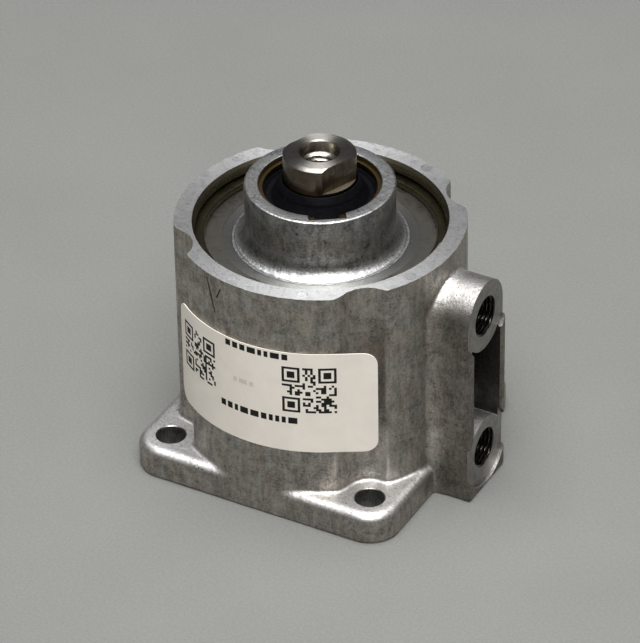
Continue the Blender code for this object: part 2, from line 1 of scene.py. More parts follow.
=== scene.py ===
"""Fine surface, materials, light and camera for a short-stroke pneumatic cylinder.

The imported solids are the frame.  Shapes here are worked out in millimetres in the same
frame: the cylinder axis is Z, the base is Z = 0 and the two air ports look towards +X.
"""

import math
import random

import bpy
import numpy as np
from mathutils import Matrix, Vector


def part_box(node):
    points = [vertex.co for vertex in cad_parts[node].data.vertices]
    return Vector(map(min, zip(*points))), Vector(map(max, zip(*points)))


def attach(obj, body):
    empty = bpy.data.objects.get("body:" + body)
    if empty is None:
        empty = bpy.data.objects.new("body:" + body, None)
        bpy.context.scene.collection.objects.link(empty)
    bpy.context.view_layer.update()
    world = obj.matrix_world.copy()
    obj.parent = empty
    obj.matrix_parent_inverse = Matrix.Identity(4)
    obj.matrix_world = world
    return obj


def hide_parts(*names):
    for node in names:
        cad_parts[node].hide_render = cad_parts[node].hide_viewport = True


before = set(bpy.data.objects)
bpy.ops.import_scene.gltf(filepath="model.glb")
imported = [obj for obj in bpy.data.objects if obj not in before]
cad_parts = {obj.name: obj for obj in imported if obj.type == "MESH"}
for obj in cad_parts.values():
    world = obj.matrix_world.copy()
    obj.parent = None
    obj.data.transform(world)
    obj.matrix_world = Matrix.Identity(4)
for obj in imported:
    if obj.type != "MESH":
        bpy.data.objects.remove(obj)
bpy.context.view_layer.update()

MM = 0.001
FULL_TURN = 2 * math.pi
TURN_SEGMENTS = 192


def box_mm(node):
    low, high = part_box(node)
    return Vector(low) / MM, Vector(high) / MM


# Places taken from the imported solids
_, HOUSING_HIGH = box_mm("housing")
CAP_LOW, CAP_HIGH = box_mm("bearing_cap")
ROD_LOW, ROD_HIGH = box_mm("piston_rod")
CAP_RING_LOW, CAP_RING_HIGH = box_mm("cap_retaining_ring")
WIPER_RING_LOW, WIPER_RING_HIGH = box_mm("wiper_retaining_ring")
WIPER_LOW, WIPER_HIGH = box_mm("rod_wiper")
LABEL_LOW, LABEL_HIGH = box_mm("identification_label")

RIM_Z = HOUSING_HIGH.z
PORT_FACE_X = HOUSING_HIGH.x
FLANGE_HALF = HOUSING_HIGH.y
BOSS_TOP_Z = CAP_HIGH.z
ROD_END_Z = ROD_HIGH.z
ROD_R = ROD_HIGH.x

# Housing casting
BODY_R = 32.0
FLANGE_THICKNESS = 7.3
FLANGE_CORNER_R = 7.2
FLANGE_EDGE_R = 2.2
FLANGE_FILLET_R = 0.9
BASE_EDGE_R = 0.9
BASE_ALLOWANCE = 0.1
BOLT_XY = 25.0
BOLT_HOLE_R = 3.3
BOLT_HOLE_EDGE = 0.2
FLUTE_R = 6.4
FLUTE_SHARP_EDGE = 0.6
FLUTE_SOFT_EDGE = 1.8
BLOCK_HALF = 8.3
BLOCK_EDGE_R = 0.35
BLOCK_FILLET_R = 0.7
BLOCK_SPREAD = 0.5
BLOCK_SPREAD_X = 37.5
BLOCK_SPREAD_LENGTH = 6.5
LOWER_PORT_Z = 9.8
UPPER_PORT_Z = 44.8
PORT_BOSSES = {LOWER_PORT_Z: 7.5, UPPER_PORT_Z: 8.3}
POCKET_HALF = 6.4
POCKET_FLOOR_X = 32.8
POCKET_CORNER_R = 0.6
POCKET_FLOOR_R = 1.2
POCKET_EDGE_R = 0.4
SIDE_TRIM_R = 0.2
WAVINESS = 0.035
WAVE_COUNT = 7
WAVE_LENGTHS = (5, 22)
RIM_ROUGHNESS = 0.16
RIM_ROUGH_HEIGHT = 1.6
CASTING_EXTRA = 2
GRID_PITCH = 0.55

# Machined features of the housing
BORE_R = 25.0
BORE_FLOOR_Z = 6.0
CAP_SEAT_R = 27.4
CAP_SEAT_Z = 46.7
RING_GROOVE_R = 28.1
RING_GROOVE_Z = 53.2
RING_GROOVE_HEIGHT = 2.3
RIM_CHAMFER = 0.6
BUMPER_GROOVE_IN = 16.9
BUMPER_GROOVE_OUT = 21.1
BUMPER_GROOVE_DEPTH = 1.3
PORT_PAD_X = 40.2
PORT_PAD_R = 9.3
PORT_MOUTH_R = 4.6
PORT_DEPTH = 9.5
PORT_THREAD = (4.283, 4.864, 0.907)
PORT_THREAD_REACH = 5.2
PASSAGE_R = 1.5
PASSAGE_OFFSETS = {LOWER_PORT_Z: -1.6, UPPER_PORT_Z: 0.2}
EJECTOR_R = 1.35
EJECTOR_DEPTH = 0.07
EJECTOR_CIRCLE_R = 30.2
EJECTOR_ANGLES = (156, 68, -22, -69)
SCRATCHES = (((-106.5, 48.6), (-110.8, 57.0)), ((-105.7, 52.5), (-103.3, 55.6)))
SCRATCH_DEPTH = 0.2
SCRATCH_FLARE = 1.4
FACE_TOLERANCE = 0.03

# Bearing cap
BOSS_R = 16.5
BOSS_FOOT_R = 19.4
BOSS_FLARE_HEIGHT = 3.6
BOSS_FLARE_STEPS = 16
BOSS_FOOT_STEP = 0.2
BOSS_FOOT_GROOVE = 0.15
FOOT_BAND_R = 21.5
CAP_DISC_Z = 53.2
BOSS_BORE_R = 13.4
BOSS_BORE_Z = 57.4
BUSH_BORE_R = 10.4
WIPER_GROOVE_R = 14.4
NOTCH_WIDTH = 8.2
NOTCH_DEPTH = 1.6
NOTCH_ANGLE = math.radians(-55)
CAP_O_RING_Z = 50.1
CAP_O_RING_GROOVE_R = 25.1
CAP_O_RING_HALF = 1.25

# Rod
FLATS_HALF = 6.5
FLATS_LENGTH = 6.0
FLATS_ANGLE = math.radians(-22)
ROD_CHAMFER_DEPTH = 0.55
ROD_CHAMFER_WIDTH = 0.85
ROD_MOUTH_R = 4.3
ROD_MOUTH_DEPTH = 2.9
ROD_THREAD = (3.32, 4.0, 1.25)
ROD_THREAD_DEPTH = 20.0
ROD_TAP_R = 2.8
ROD_TAP_DEPTH = 13.0

# Wiper lip
WIPER_LIP_HEIGHT = 4.4

# Retaining rings
CAP_RING_SECTION = 2.4
CAP_RING_GAP_ANGLE = math.radians(110)
WIPER_RING_SECTION = 1.8
RING_GAP = math.radians(24)

# Label
LABEL_INNER_R = 32.1
LABEL_OUTER_R = 32.3
LABEL_LENGTH = 51.8
LABEL_START = math.radians(-132.7)
LABEL_LIFT_OFF = math.radians(-60)
LABEL_CORNER_R = 3.0
CODE_ROWS = 21
CODE_WIDTH = 11.8
CODE_Z = 28.8
CODE_STARTS_AND_SEEDS = ((2.6, 5), (31.2, 8))
BAR_LENGTHS = (0.9, 1.3, 1.3, 2.0)
BAR_GAP = 0.55
SHORTEST_BAR = 0.8
# Rows of bars: from, to, low, high and the seed of their lengths
DARK_BAR_ROWS = ((17.7, 33.4, 42.2, 43.7, 3), (16.0, 34.6, 25.7, 27.3, 4))
FAINT_BAR_ROW = (19.6, 24.6, 33.4, 34.6, 6)
LARGEST_LABEL_STEP = 1.2
LARGEST_LABEL_RISE = 3.0

# Order of the looks that one piece carries
HOUSING_LOOKS = (
    "cast", "rim", "bore", "lower_pad", "upper_pad", "base", "thread", "hole", "pocket", "ejector",
)
CAP_LOOKS = ("boss", "disc", "bore", "band")
ROD_LOOKS = ("ground", "faced_rod", "milled", "rod_thread", "ledge")
LABEL_LOOKS = ("paper", "ink", "faint_ink")

# Stage and camera
FLOOR_HALF = 4000
LAMP_DISTANCE = 1200
AIM_POINT = Vector((0, 0, 30.0))
CAMERA_AZIMUTH = math.radians(29.25)
CAMERA_ELEVATION = math.radians(34.74)
CAMERA_ROLL = math.radians(-1.02)
CAMERA_DISTANCE = 923.0
CAMERA_LENS = 234.0
CAMERA_SENSOR = 36.0
CAMERA_REACH = 20000
CAMERA_SHIFT_RIGHT = -0.53
CAMERA_SHIFT_UP = 0.35


# Mesh building


def mesh_object(name, points, faces):
    """New linked object from points in millimetres and faces given as point indices."""
    mesh = bpy.data.meshes.new(name)
    mesh.from_pydata((np.asarray(points, dtype=float) * MM).tolist(), [], faces)
    mesh.update()
    piece = bpy.data.objects.new(name, mesh)
    bpy.context.scene.collection.objects.link(piece)
    return piece


def polar(radius, angle, z):
    """Point at a distance from the cylinder's axis, at an angle round it and at a height."""
    return (radius * math.cos(angle), radius * math.sin(angle), z)


def rounded(outline, steps=4):
    """Closed outline of (x, y, radius) corners with every corner rounded by its radius."""
    points = []
    for index, (x, y, radius) in enumerate(outline):
        corner = Vector((x, y))
        if radius == 0:
            points.append(tuple(corner))
            continue
        back = Vector(outline[index - 1][:2]) - corner
        ahead = Vector(outline[(index + 1) % len(outline)][:2]) - corner
        half = back.angle(ahead) / 2
        reach = min(radius / math.tan(half), back.length * 0.48, ahead.length * 0.48)
        for step in range(steps + 1):
            t = step / steps
            curve = back.normalized() * (1 - t) ** 2 + ahead.normalized() * t ** 2
            points.append(tuple(corner + curve * reach))
    return points


def band(first, second):
    """Quads between two closed rings of point indices."""
    return list(zip(first, first[1:] + first[:1], second[1:] + second[:1], second))


def turned(name, profile, segments=TURN_SEGMENTS):
    """Turn a closed outline of (radius, z) points, anticlockwise in (radius, z), about Z."""
    points = []
    columns = []
    for radius, z in profile:
        if radius < 1e-6:
            columns.append([len(points)] * segments)
            points.append((0, 0, z))
            continue
        columns.append(list(range(len(points), len(points) + segments)))
        points += [polar(radius, FULL_TURN * step / segments, z) for step in range(segments)]
    faces = []
    for index, first in enumerate(columns):
        second = columns[(index + 1) % len(columns)]
        if first[0] == first[1] and second[0] == second[1]:
            continue
        faces += [tuple(dict.fromkeys(quad)) for quad in band(first, second)]
    return mesh_object(name, points, faces)


def swept_ring(name, section, start, end, segments=TURN_SEGMENTS):
    """Sweep a closed (radius, z) outline about Z from one angle to another, ends closed."""
    points = []
    for step in range(segments + 1):
        angle = start + (end - start) * step / segments
        points += [polar(radius, angle, z) for radius, z in section]
    count = len(section)
    rings = [list(range(step * count, (step + 1) * count)) for step in range(segments + 1)]
    faces = []
    for first, second in zip(rings, rings[1:]):
        faces += band(second, first)
    faces += [tuple(rings[0]), tuple(reversed(rings[-1]))]
    return mesh_object(name, points, faces)


def block(name, low, high):
    points = [(x, y, z) for x in (low[0], high[0]) for y in (low[1], high[1]) for z in (low[2], high[2])]
    faces = [(0, 1, 3, 2), (4, 6, 7, 5), (0, 4, 5, 1), (2, 3, 7, 6), (0, 2, 6, 4), (1, 5, 7, 3)]
    return mesh_object(name, points, faces)


def plug(name, radius, low, high, segments=96):
    return turned(name, [(0, low), (radius, low), (radius, high), (0, high)], segments)


def threaded_plug(name, thread, low, high, mouth_r, slope=1.0, segments=72, rows_per_turn=9):
    """Solid with a screw thread on it, opening into a cone of mouth_r at its upper end."""
    core_r, crest_r, pitch = thread
    rows = round((high - low) / pitch * rows_per_turn)
    heights = np.linspace(low, high, rows + 1)
    angles = np.arange(segments) * FULL_TURN / segments
    height, angle = np.meshgrid(heights, angles, indexing="ij")
    phase = np.mod(height / pitch - angle / FULL_TURN, 1)
    # Triangle wave whose crests and roots are flattened
    wave = np.clip((1 - np.abs(2 * phase - 1)) * 1.25 - 0.125, 0, 1)
    radius = core_r + (crest_r - core_r) * wave
    radius = np.maximum(radius, mouth_r - (high - height) * slope)
    points = np.stack((radius * np.cos(angle), radius * np.sin(angle), height), axis=-1)
    points = points.reshape(-1, 3).tolist()
    rings = [list(range(row * segments, (row + 1) * segments)) for row in range(rows + 1)]
    faces = []
    for first, second in zip(rings, rings[1:]):
        faces += band(first, second)
    points += [(0, 0, low), (0, 0, high)]
    for step in range(segments):
        after = (step + 1) % segments
        faces.append((len(points) - 2, after, step))
        faces.append((len(points) - 1, rings[-1][step], rings[-1][after]))
    return mesh_object(name, points, faces)


def lay_along_x(piece, z):
    """Turn a solid that stands on Z so that it lies along X at a height."""
    turn = Matrix.Rotation(math.pi / 2, 4, "Y")
    piece.data.transform(Matrix.Translation((0, 0, z * MM)) @ turn)
    return piece


def move_to(piece, x, y):
    piece.data.transform(Matrix.Translation((x * MM, y * MM, 0)))
    return piece


def cut_away(piece, cutters):
    """Subtract closed cutters for good, then delete them."""
    for cutter in cutters:
        modifier = piece.modifiers.new(cutter.name, "BOOLEAN")
        modifier.operation = "DIFFERENCE"
        modifier.solver = "MANIFOLD"
        modifier.object = cutter
    graph = bpy.context.evaluated_depsgraph_get()
    finished = bpy.data.meshes.new_from_object(piece.evaluated_get(graph))
    piece.modifiers.clear()
    piece.data = finished
    for cutter in cutters:
        bpy.data.objects.remove(cutter, do_unlink=True)


def finish_piece(piece, body, replaced, materials, angle=32):
    piece.data.materials.clear()
    for material in materials:
        piece.data.materials.append(material)
    piece.data.shade_smooth()
    piece.data.set_sharp_from_angle(angle=math.radians(angle))
    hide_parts(replaced)
    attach(piece, body)


# Cast shape of the housing as a distance field


def round_union(first, second, radius):
    """Join two fields with a fillet."""
    inner = np.hypot(np.maximum(radius - first, 0), np.maximum(radius - second, 0))
    return np.maximum(radius, np.minimum(first, second)) - inner


def round_intersection(first, second, radius):
    """Keep what two fields share, with a rounded edge."""
    outer = np.hypot(np.maximum(radius + first, 0), np.maximum(radius + second, 0))
    return np.minimum(-radius, np.maximum(first, second)) + outer


def fluted_barrel(x, y):
    """Barrel with a flute over each bolt; one edge of every flute is sharper than the other."""
    barrel = np.hypot(x, y) - BODY_R
    flute = FLUTE_R - np.hypot(np.abs(x) - BOLT_XY, np.abs(y) - BOLT_XY)
    clockwise = (np.sign(y) * x - np.sign(x) * y) / math.sqrt(2)
    softness = np.clip(clockwise / 4 + 0.5, 0, 1)
    edge = FLUTE_SHARP_EDGE + (FLUTE_SOFT_EDGE - FLUTE_SHARP_EDGE) * softness
    return round_intersection(barrel, flute, edge)


def flange(x, y, z):
    straight = FLANGE_HALF - FLANGE_CORNER_R
    over_x = np.abs(x) - straight
    over_y = np.abs(y) - straight
    outside = np.hypot(np.maximum(over_x, 0), np.maximum(over_y, 0))
    square = outside + np.minimum(np.maximum(over_x, over_y), 0) - FLANGE_CORNER_R
    return round_intersection(square, z - FLANGE_THICKNESS, FLANGE_EDGE_R)


def port_block(x, y, z):
    """Round-topped block whose upright sides spread a little towards the barrel."""
    spread = BLOCK_SPREAD * np.clip((BLOCK_SPREAD_X - x) / BLOCK_SPREAD_LENGTH, 0, 1) ** 2
    spread = spread * np.clip(1 - (z - UPPER_PORT_Z) / BLOCK_HALF, 0, 1)
    sides = np.hypot(y, np.maximum(z - UPPER_PORT_Z, 0)) - BLOCK_HALF - spread
    solid = round_intersection(sides, x - PORT_FACE_X, BLOCK_EDGE_R)
    return np.maximum(solid, BORE_R - x)


def port_pocket(x, y, z):
    """Hollow between the port bosses, whose ends follow the round bosses."""
    hollow = np.abs(y) - POCKET_HALF
    for port_z, boss_r in PORT_BOSSES.items():
        hollow = round_intersection(hollow, boss_r - np.hypot(y, z - port_z), POCKET_CORNER_R)
    hollow = np.maximum(hollow, np.maximum(LOWER_PORT_Z - z, z - UPPER_PORT_Z))
    return round_intersection(hollow, POCKET_FLOOR_X - x, POCKET_FLOOR_R)


def waviness(x, y, z):
    """Uneven casting skin: a few seeded waves, between zero and WAVINESS."""
    draw = random.Random(11)
    total = 0
    for _ in range(WAVE_COUNT):
        length = draw.uniform(*WAVE_LENGTHS)
        direction = Vector((draw.gauss(0, 1), draw.gauss(0, 1), draw.gauss(0, 0.6))).normalized()
        phase = draw.uniform(0, FULL_TURN)
        along = direction.x * x + direction.y * y + direction.z * z
        total = total + np.sin(along * FULL_TURN / length + phase)
    return WAVINESS * (0.5 + 0.5 * total / WAVE_COUNT)


def rim_wear(x, y, z):
    """Short uneven waves in the skin just below the rim, which make its edge ragged."""
    angle = np.arctan2(y, x)
    ragged = np.sin(41 * angle + 1.3 * np.sin(17 * angle)) * np.sin(67 * angle + 2.1 * np.sin(9 * angle))
    near = np.clip((z - RIM_Z) / RIM_ROUGH_HEIGHT + 1, 0, 1)
    return RIM_ROUGHNESS * near * (0.5 + 0.5 * ragged)


def casting(points):
    """The raw casting, which stands a little past the rim before it is faced."""
    x, y, z = points.T
    solid = round_union(fluted_barrel(x, y), flange(x, y, z), FLANGE_FILLET_R)
    solid = round_intersection(solid, np.maximum(np.abs(x), np.abs(y)) - FLANGE_HALF, SIDE_TRIM_R)
    solid = round_union(solid, port_block(x, y, z), BLOCK_FILLET_R)
    solid = round_intersection(solid, -port_pocket(x, y, z), POCKET_EDGE_R)
    solid = round_intersection(solid, -z - BASE_ALLOWANCE, BASE_EDGE_R)
    solid = np.maximum(solid, z - RIM_Z - CASTING_EXTRA)
    return solid + waviness(x, y, z) + rim_wear(x, y, z)


def surface_net(field, low, high, pitch):
    """Points and quads of the surface where a field is zero, one point for each crossed cell."""
    axes = [np.arange(low[k], high[k] + pitch, pitch) for k in range(3)]
    grid = np.stack(np.meshgrid(*axes, indexing="ij"), axis=-1)
    inside = (field(grid.reshape(-1, 3)) < 0).reshape(grid.shape[:3])
    halves = (slice(None, -1), slice(1, None))
    count = sum(inside[i, j, k].astype(int) for i in halves for j in halves for k in halves)
    crossed = (count > 0) & (count < 8)
    number = np.full(crossed.shape, -1)
    number[crossed] = np.arange(np.count_nonzero(crossed))
    points = grid[:-1, :-1, :-1][crossed] + pitch / 2
    quads = []
    for axis in range(3):
        ahead = np.moveaxis(inside, axis, 0)
        cells = np.moveaxis(number, axis, 0)
        first = ahead[:-1, 1:-1, 1:-1]
        second = ahead[1:, 1:-1, 1:-1]
        around = np.stack(
            (cells[:, :-1, :-1], cells[:, 1:, :-1], cells[:, 1:, 1:], cells[:, :-1, 1:]), axis=-1
        )
        leaving = around[first & ~second]
        entering = around[~first & second][:, ::-1]
        if axis == 1:
            leaving, entering = leaving[:, ::-1], entering[:, ::-1]
        quads += [leaving, entering]
    return points, np.concatenate(quads)


def gradient(field, points, step=0.02):
    parts = []
    for axis in range(3):
        offset = np.zeros(3)
        offset[axis] = step
        parts.append((field(points + offset) - field(points - offset)) / (2 * step))
    return np.stack(parts, axis=-1)


def settle(field, points, quads, rounds=5):
    """Even out a net's points and bring them onto the surface."""
    first = quads.ravel()
    second = np.roll(quads, -1, axis=1).ravel()
    ends = np.concatenate((first, second))
    others = np.concatenate((second, first))
    degree = np.bincount(ends, minlength=len(points))[:, None]
    for _ in range(rounds):
        sums = [
            np.bincount(ends, weights=points[others, axis], minlength=len(points))
            for axis in range(3)
        ]
        mean = np.stack(sums, axis=-1) / degree
        points = points + 0.5 * (mean - points)
        for _ in range(2):
            slope = gradient(field, points)
            steep = np.maximum((slope ** 2).sum(axis=1, keepdims=True), 0.25)
            points = points - field(points)[:, None] * slope / steep
    return points


def cast_housing():
    margin = 3 * GRID_PITCH
    low = (-FLANGE_HALF - margin, -FLANGE_HALF - margin, -CASTING_EXTRA - margin)
    high = (PORT_FACE_X + margin, FLANGE_HALF + margin, RIM_Z + CASTING_EXTRA + margin)
    points, quads = surface_net(casting, low, high, GRID_PITCH)
    points = settle(casting, points, quads)
    return mesh_object("cast_housing", points, quads.tolist())


# Machining of the housing


def bore_cutter():
    groove_z = BORE_FLOOR_Z - BUMPER_GROOVE_DEPTH
    groove_top = RING_GROOVE_Z + RING_GROOVE_HEIGHT
    above = RIM_Z + 5
    return turned("bore_cutter", [
        (0, BORE_FLOOR_Z),
        (BUMPER_GROOVE_IN, BORE_FLOOR_Z),
        (BUMPER_GROOVE_IN, groove_z),
        (BUMPER_GROOVE_OUT, groove_z),
        (BUMPER_GROOVE_OUT, BORE_FLOOR_Z),
        (BORE_R, BORE_FLOOR_Z),
        (BORE_R, CAP_SEAT_Z),
        (CAP_SEAT_R, CAP_SEAT_Z),
        (CAP_SEAT_R, RING_GROOVE_Z),
        (RING_GROOVE_R, RING_GROOVE_Z),
        (RING_GROOVE_R, groove_top),
        (CAP_SEAT_R, groove_top),
        (CAP_SEAT_R, RIM_Z - RIM_CHAMFER),
        (CAP_SEAT_R + RIM_CHAMFER, RIM_Z),
        (CAP_SEAT_R + RIM_CHAMFER, above),
        (0, above),
    ])


def bolt_hole_cutters():
    """Drilled holes with a slightly broken edge at the top and the bottom."""
    edge = BOLT_HOLE_EDGE
    profile = [
        (0, -3),
        (BOLT_HOLE_R + edge, -3),
        (BOLT_HOLE_R + edge, 0),
        (BOLT_HOLE_R, edge),
        (BOLT_HOLE_R, FLANGE_THICKNESS - edge),
        (BOLT_HOLE_R + edge, FLANGE_THICKNESS),
        (BOLT_HOLE_R + edge, FLANGE_THICKNESS + 2),
        (0, FLANGE_THICKNESS + 2),
    ]
    return [
        move_to(turned(f"bolt_hole_{sx}_{sy}", profile, 72), sx * BOLT_XY, sy * BOLT_XY)
        for sx in (-1, 1) for sy in (-1, 1)
    ]


def port_cutters(port_z):
    bottom = PORT_PAD_X - PORT_DEPTH
    outside = PORT_FACE_X + 3
    spot_face = plug("spot_face", PORT_PAD_R, PORT_PAD_X, outside, 128)
    thread = threaded_plug("port_thread", PORT_THREAD, bottom, PORT_PAD_X + 0.01, PORT_MOUTH_R)
    passage = plug("passage", PASSAGE_R, BORE_R - 2, bottom + 1, 48)
    lay_along_x(passage, port_z + PASSAGE_OFFSETS[port_z])
    return [lay_along_x(spot_face, port_z), lay_along_x(thread, port_z), passage]


def ejector_cutters():
    """Faint round marks left in the rim."""
    cutters = []
    for degrees in EJECTOR_ANGLES:
        x, y, _ = polar(EJECTOR_CIRCLE_R, math.radians(degrees), 0)
        mark = plug("ejector_mark", EJECTOR_R, RIM_Z - EJECTOR_DEPTH, RIM_Z + 1, 40)
        cutters.append(move_to(mark, x, y))
    return cutters


def scratch_cutters():
    """Scores down the wall, each a shallow wedge between two (degrees round the axis, z) ends."""
    cutters = []
    for ends in SCRATCHES:
        points = []
        for degrees, z in ends:
            for offset, radius in ((0, BODY_R - SCRATCH_DEPTH), (1, BODY_R + 1), (-1, BODY_R + 1)):
                angle = math.radians(degrees) + offset * SCRATCH_FLARE / BODY_R
                points.append(polar(radius, angle, z))
        faces = [(0, 1, 2), (3, 5, 4), (1, 0, 3, 4), (2, 1, 4, 5), (0, 2, 5, 3)]
        cutters.append(mesh_object("scratch", points, faces))
    return cutters


def in_scratch(x, y, z, normals):
    """Faces of the scores: steep to the wall they are cut in."""
    angle = np.degrees(np.arctan2(y, x))
    radius = np.hypot(x, y)
    facing = (normals[:, 0] * x + normals[:, 1] * y) / radius
    found = np.zeros(len(x), dtype=bool)
    for (first, low), (second, high) in SCRATCHES:
        middle = first + (second - first) * (z - low) / (high - low)
        found |= (np.abs(angle - middle) < 0.6) & (z > low - 0.1) & (z < high + 0.1)
    return found & (facing < 0.85) & (facing > 0.2) & (radius > BODY_R - 2 * SCRATCH_DEPTH)


def housing_slots(mesh):
    """Give every face its look: cast skin, then the machined surfaces."""
    count = len(mesh.polygons)
    centres = np.empty(count * 3, dtype=np.float32)
    normals = np.empty(count * 3, dtype=np.float32)
    mesh.polygons.foreach_get("center", centres)
    mesh.polygons.foreach_get("normal", normals)
    x, y, z = centres.reshape(-1, 3).T / MM
    normals = normals.reshape(-1, 3)
    out, _, up = normals.T
    across = np.hypot(x, y)
    near = FACE_TOLERANCE
    slot = {look: index for index, look in enumerate(HOUSING_LOOKS)}
    slots = np.zeros(count, dtype=np.int32)
    slots[(z < near) & (up < -0.9)] = slot["base"]
    slots[(across < RING_GROOVE_R + near) & (z > BORE_FLOOR_Z - 2) & (x < BORE_R + 2.5)] = slot["bore"]
    on_rim = (z > RIM_Z - EJECTOR_DEPTH - near) & (up > 0.9)
    slots[on_rim] = slot["rim"]
    bolt = np.hypot(np.abs(x) - BOLT_XY, np.abs(y) - BOLT_XY)
    slots[(bolt < BOLT_HOLE_R + BOLT_HOLE_EDGE) & (z < FLANGE_THICKNESS + 1)] = slot["hole"]
    hollow = (port_pocket(x, y, z) < 0.25) & (x < PORT_FACE_X - 0.4) & (x > BODY_R)
    # Walls in the hollow take the darker skin, which is painted shade.
    slots[hollow & (up < 0.25)] = slot["pocket"]
    for port_z, pad in ((LOWER_PORT_Z, "lower_pad"), (UPPER_PORT_Z, "upper_pad")):
        reach = np.hypot(y, z - port_z)
        slots[(reach < PORT_PAD_R + near) & (np.abs(x - PORT_PAD_X) < near) & (out > 0.9)] = slot[pad]
        depth = PORT_PAD_X - x
        in_thread = (reach < PORT_THREAD_REACH) & (depth > near) & (depth < PORT_DEPTH + near)
        # Port threads take the nearly black look, painted shade in the holes.
        slots[in_thread] = slot["thread"]
    # The walls of the scores take the same darker skin.
    slots[in_scratch(x, y, z, normals)] = slot["pocket"]
    in_mark = on_rim & (z < RIM_Z - EJECTOR_DEPTH / 2) & (across > EJECTOR_CIRCLE_R - EJECTOR_R - near)
    slots[in_mark] = slot["ejector"]
    mesh.polygons.foreach_set("material_index", slots)


def build_housing(looks):
    housing = cast_housing()
    wide = 60
    cutters = [
        block("above_rim", (-wide, -wide, RIM_Z), (wide, wide, RIM_Z + 20)),
        block("below_base", (-wide, -wide, -20), (wide, wide, 0)),
        bore_cutter(),
        *bolt_hole_cutters(),
        *ejector_cutters(),
        *scratch_cutters(),
    ]
    for port_z in (LOWER_PORT_Z, UPPER_PORT_Z):
        cutters += port_cutters(port_z)
    cut_away(housing, cutters)
    materials = [looks[name] for name in HOUSING_LOOKS]
    finish_piece(housing, "housing", "housing", materials)
    housing_slots(housing.data)


# Bearing cap


def flare_arc(low):
    """Points of the quarter ellipse from the boss's foot up to its wall."""
    for step in range(1, BOSS_FLARE_STEPS):
        angle = math.pi / 2 * step / BOSS_FLARE_STEPS
        radius = BOSS_FOOT_R - (BOSS_FOOT_R - BOSS_R) * math.sin(angle)
        yield radius, low + BOSS_FLARE_HEIGHT * (1 - math.cos(angle)), 0


def cap_profile():
    """Outline in (radius, z): the disc, the flared boss foot and the stepped bore."""
    low, outer = CAP_LOW.z, CAP_HIGH.x
    bumper_z = low + BUMPER_GROOVE_DEPTH
    seal_low = CAP_O_RING_Z - CAP_O_RING_HALF
    seal_high = CAP_O_RING_Z + CAP_O_RING_HALF
    band_z = CAP_DISC_Z + 0.04
    foot_z = CAP_DISC_Z + BOSS_FOOT_STEP
    ledge_r, ledge_z = BOSS_FOOT_R - 0.5, foot_z + 0.04
    ring_low = WIPER_RING_LOW.z - 0.2
    ring_high = WIPER_RING_HIGH.z + 0.2
    return rounded([
        (BUSH_BORE_R, low, 0.2),
        (BUMPER_GROOVE_IN, low, 0.15),
        (BUMPER_GROOVE_IN, bumper_z, 0.15),
        (BUMPER_GROOVE_OUT, bumper_z, 0.15),
        (BUMPER_GROOVE_OUT, low, 0.15),
        (outer, low, 0.4),
        (outer, seal_low, 0.15),
        (CAP_O_RING_GROOVE_R, seal_low, 0.15),
        (CAP_O_RING_GROOVE_R, seal_high, 0.15),
        (outer, seal_high, 0.15),
        (outer, CAP_DISC_Z, 0.25),
        (FOOT_BAND_R + 0.2, CAP_DISC_Z, 0.1),
        (FOOT_BAND_R, band_z, 0.1),
        (BOSS_FOOT_R + BOSS_FOOT_GROOVE, band_z, 0.03),
        (BOSS_FOOT_R + 0.02, band_z - BOSS_FOOT_GROOVE, 0),
        (BOSS_FOOT_R, foot_z, 0.06),
        (ledge_r, ledge_z, 0),
        *[point for point in flare_arc(ledge_z) if point[0] < ledge_r],
        (BOSS_R, foot_z + BOSS_FLARE_HEIGHT + 0.3, 0.3),
        (BOSS_R, BOSS_TOP_Z, 0.55),
        (BOSS_BORE_R, BOSS_TOP_Z, 0.3),
        (BOSS_BORE_R, ring_high, 0.08),
        (WIPER_GROOVE_R, ring_high, 0.1),
        (WIPER_GROOVE_R, ring_low, 0.1),
        (BOSS_BORE_R, ring_low, 0.08),
        (BOSS_BORE_R, BOSS_BORE_Z, 0.2),
        (BUSH_BORE_R, BOSS_BORE_Z, 0.2),
    ])


def cap_slots(mesh):
    """Give every face its look: cast boss, then the turned disc, the band round it and the bore."""
    for face in mesh.polygons:
        centre = face.center / MM
        radius = math.hypot(centre.x, centre.y)
        look = "boss"
        if centre.z < CAP_DISC_Z + BOSS_FOOT_STEP - 0.05:
            look = "band" if radius < FOOT_BAND_R and centre.z > CAP_DISC_Z - 0.2 else "disc"
        elif radius < BOSS_BORE_R + 1.2 and centre.z < BOSS_TOP_Z - 0.35:
            look = "bore"
        face.material_index = CAP_LOOKS.index(look)


def build_cap(looks):
    cap = turned("cap_casting", cap_profile(), 256)
    inner = BOSS_BORE_R - 2
    notch = block(
        "ring_notch",
        (inner, -NOTCH_WIDTH / 2, WIPER_RING_LOW.z),
        (BOSS_BORE_R + NOTCH_DEPTH, NOTCH_WIDTH / 2, BOSS_TOP_Z + 2),
    )
    notch.data.transform(Matrix.Rotation(NOTCH_ANGLE, 4, "Z"))
    cut_away(cap, [notch])
    materials = [looks[name] for name in CAP_LOOKS]
    finish_piece(cap, "housing", "bearing_cap", materials)
    cap_slots(cap.data)


def build_retaining_rings(looks):
    for name, low, high, width, gap_angle, outer, edge, look in (
        ("cap_retaining_ring", CAP_RING_LOW.z, CAP_RING_HIGH.z, CAP_RING_SECTION,
         CAP_RING_GAP_ANGLE, CAP_RING_HIGH.x, 0.3, "zinc"),
        ("wiper_retaining_ring", WIPER_RING_LOW.z, WIPER_RING_HIGH.z, WIPER_RING_SECTION,
         NOTCH_ANGLE, WIPER_RING_HIGH.x, 0.2, "gold_zinc"),
    ):
        section = rounded([
            (outer - width, low, edge),
            (outer, low, edge),
            (outer, high, edge),
            (outer - width, high, edge),
        ])
        start = gap_angle + RING_GAP / 2
        ring = swept_ring(f"{name}_fine", section, start, start + FULL_TURN - RING_GAP)
        finish_piece(ring, "housing", name, [looks[look]])


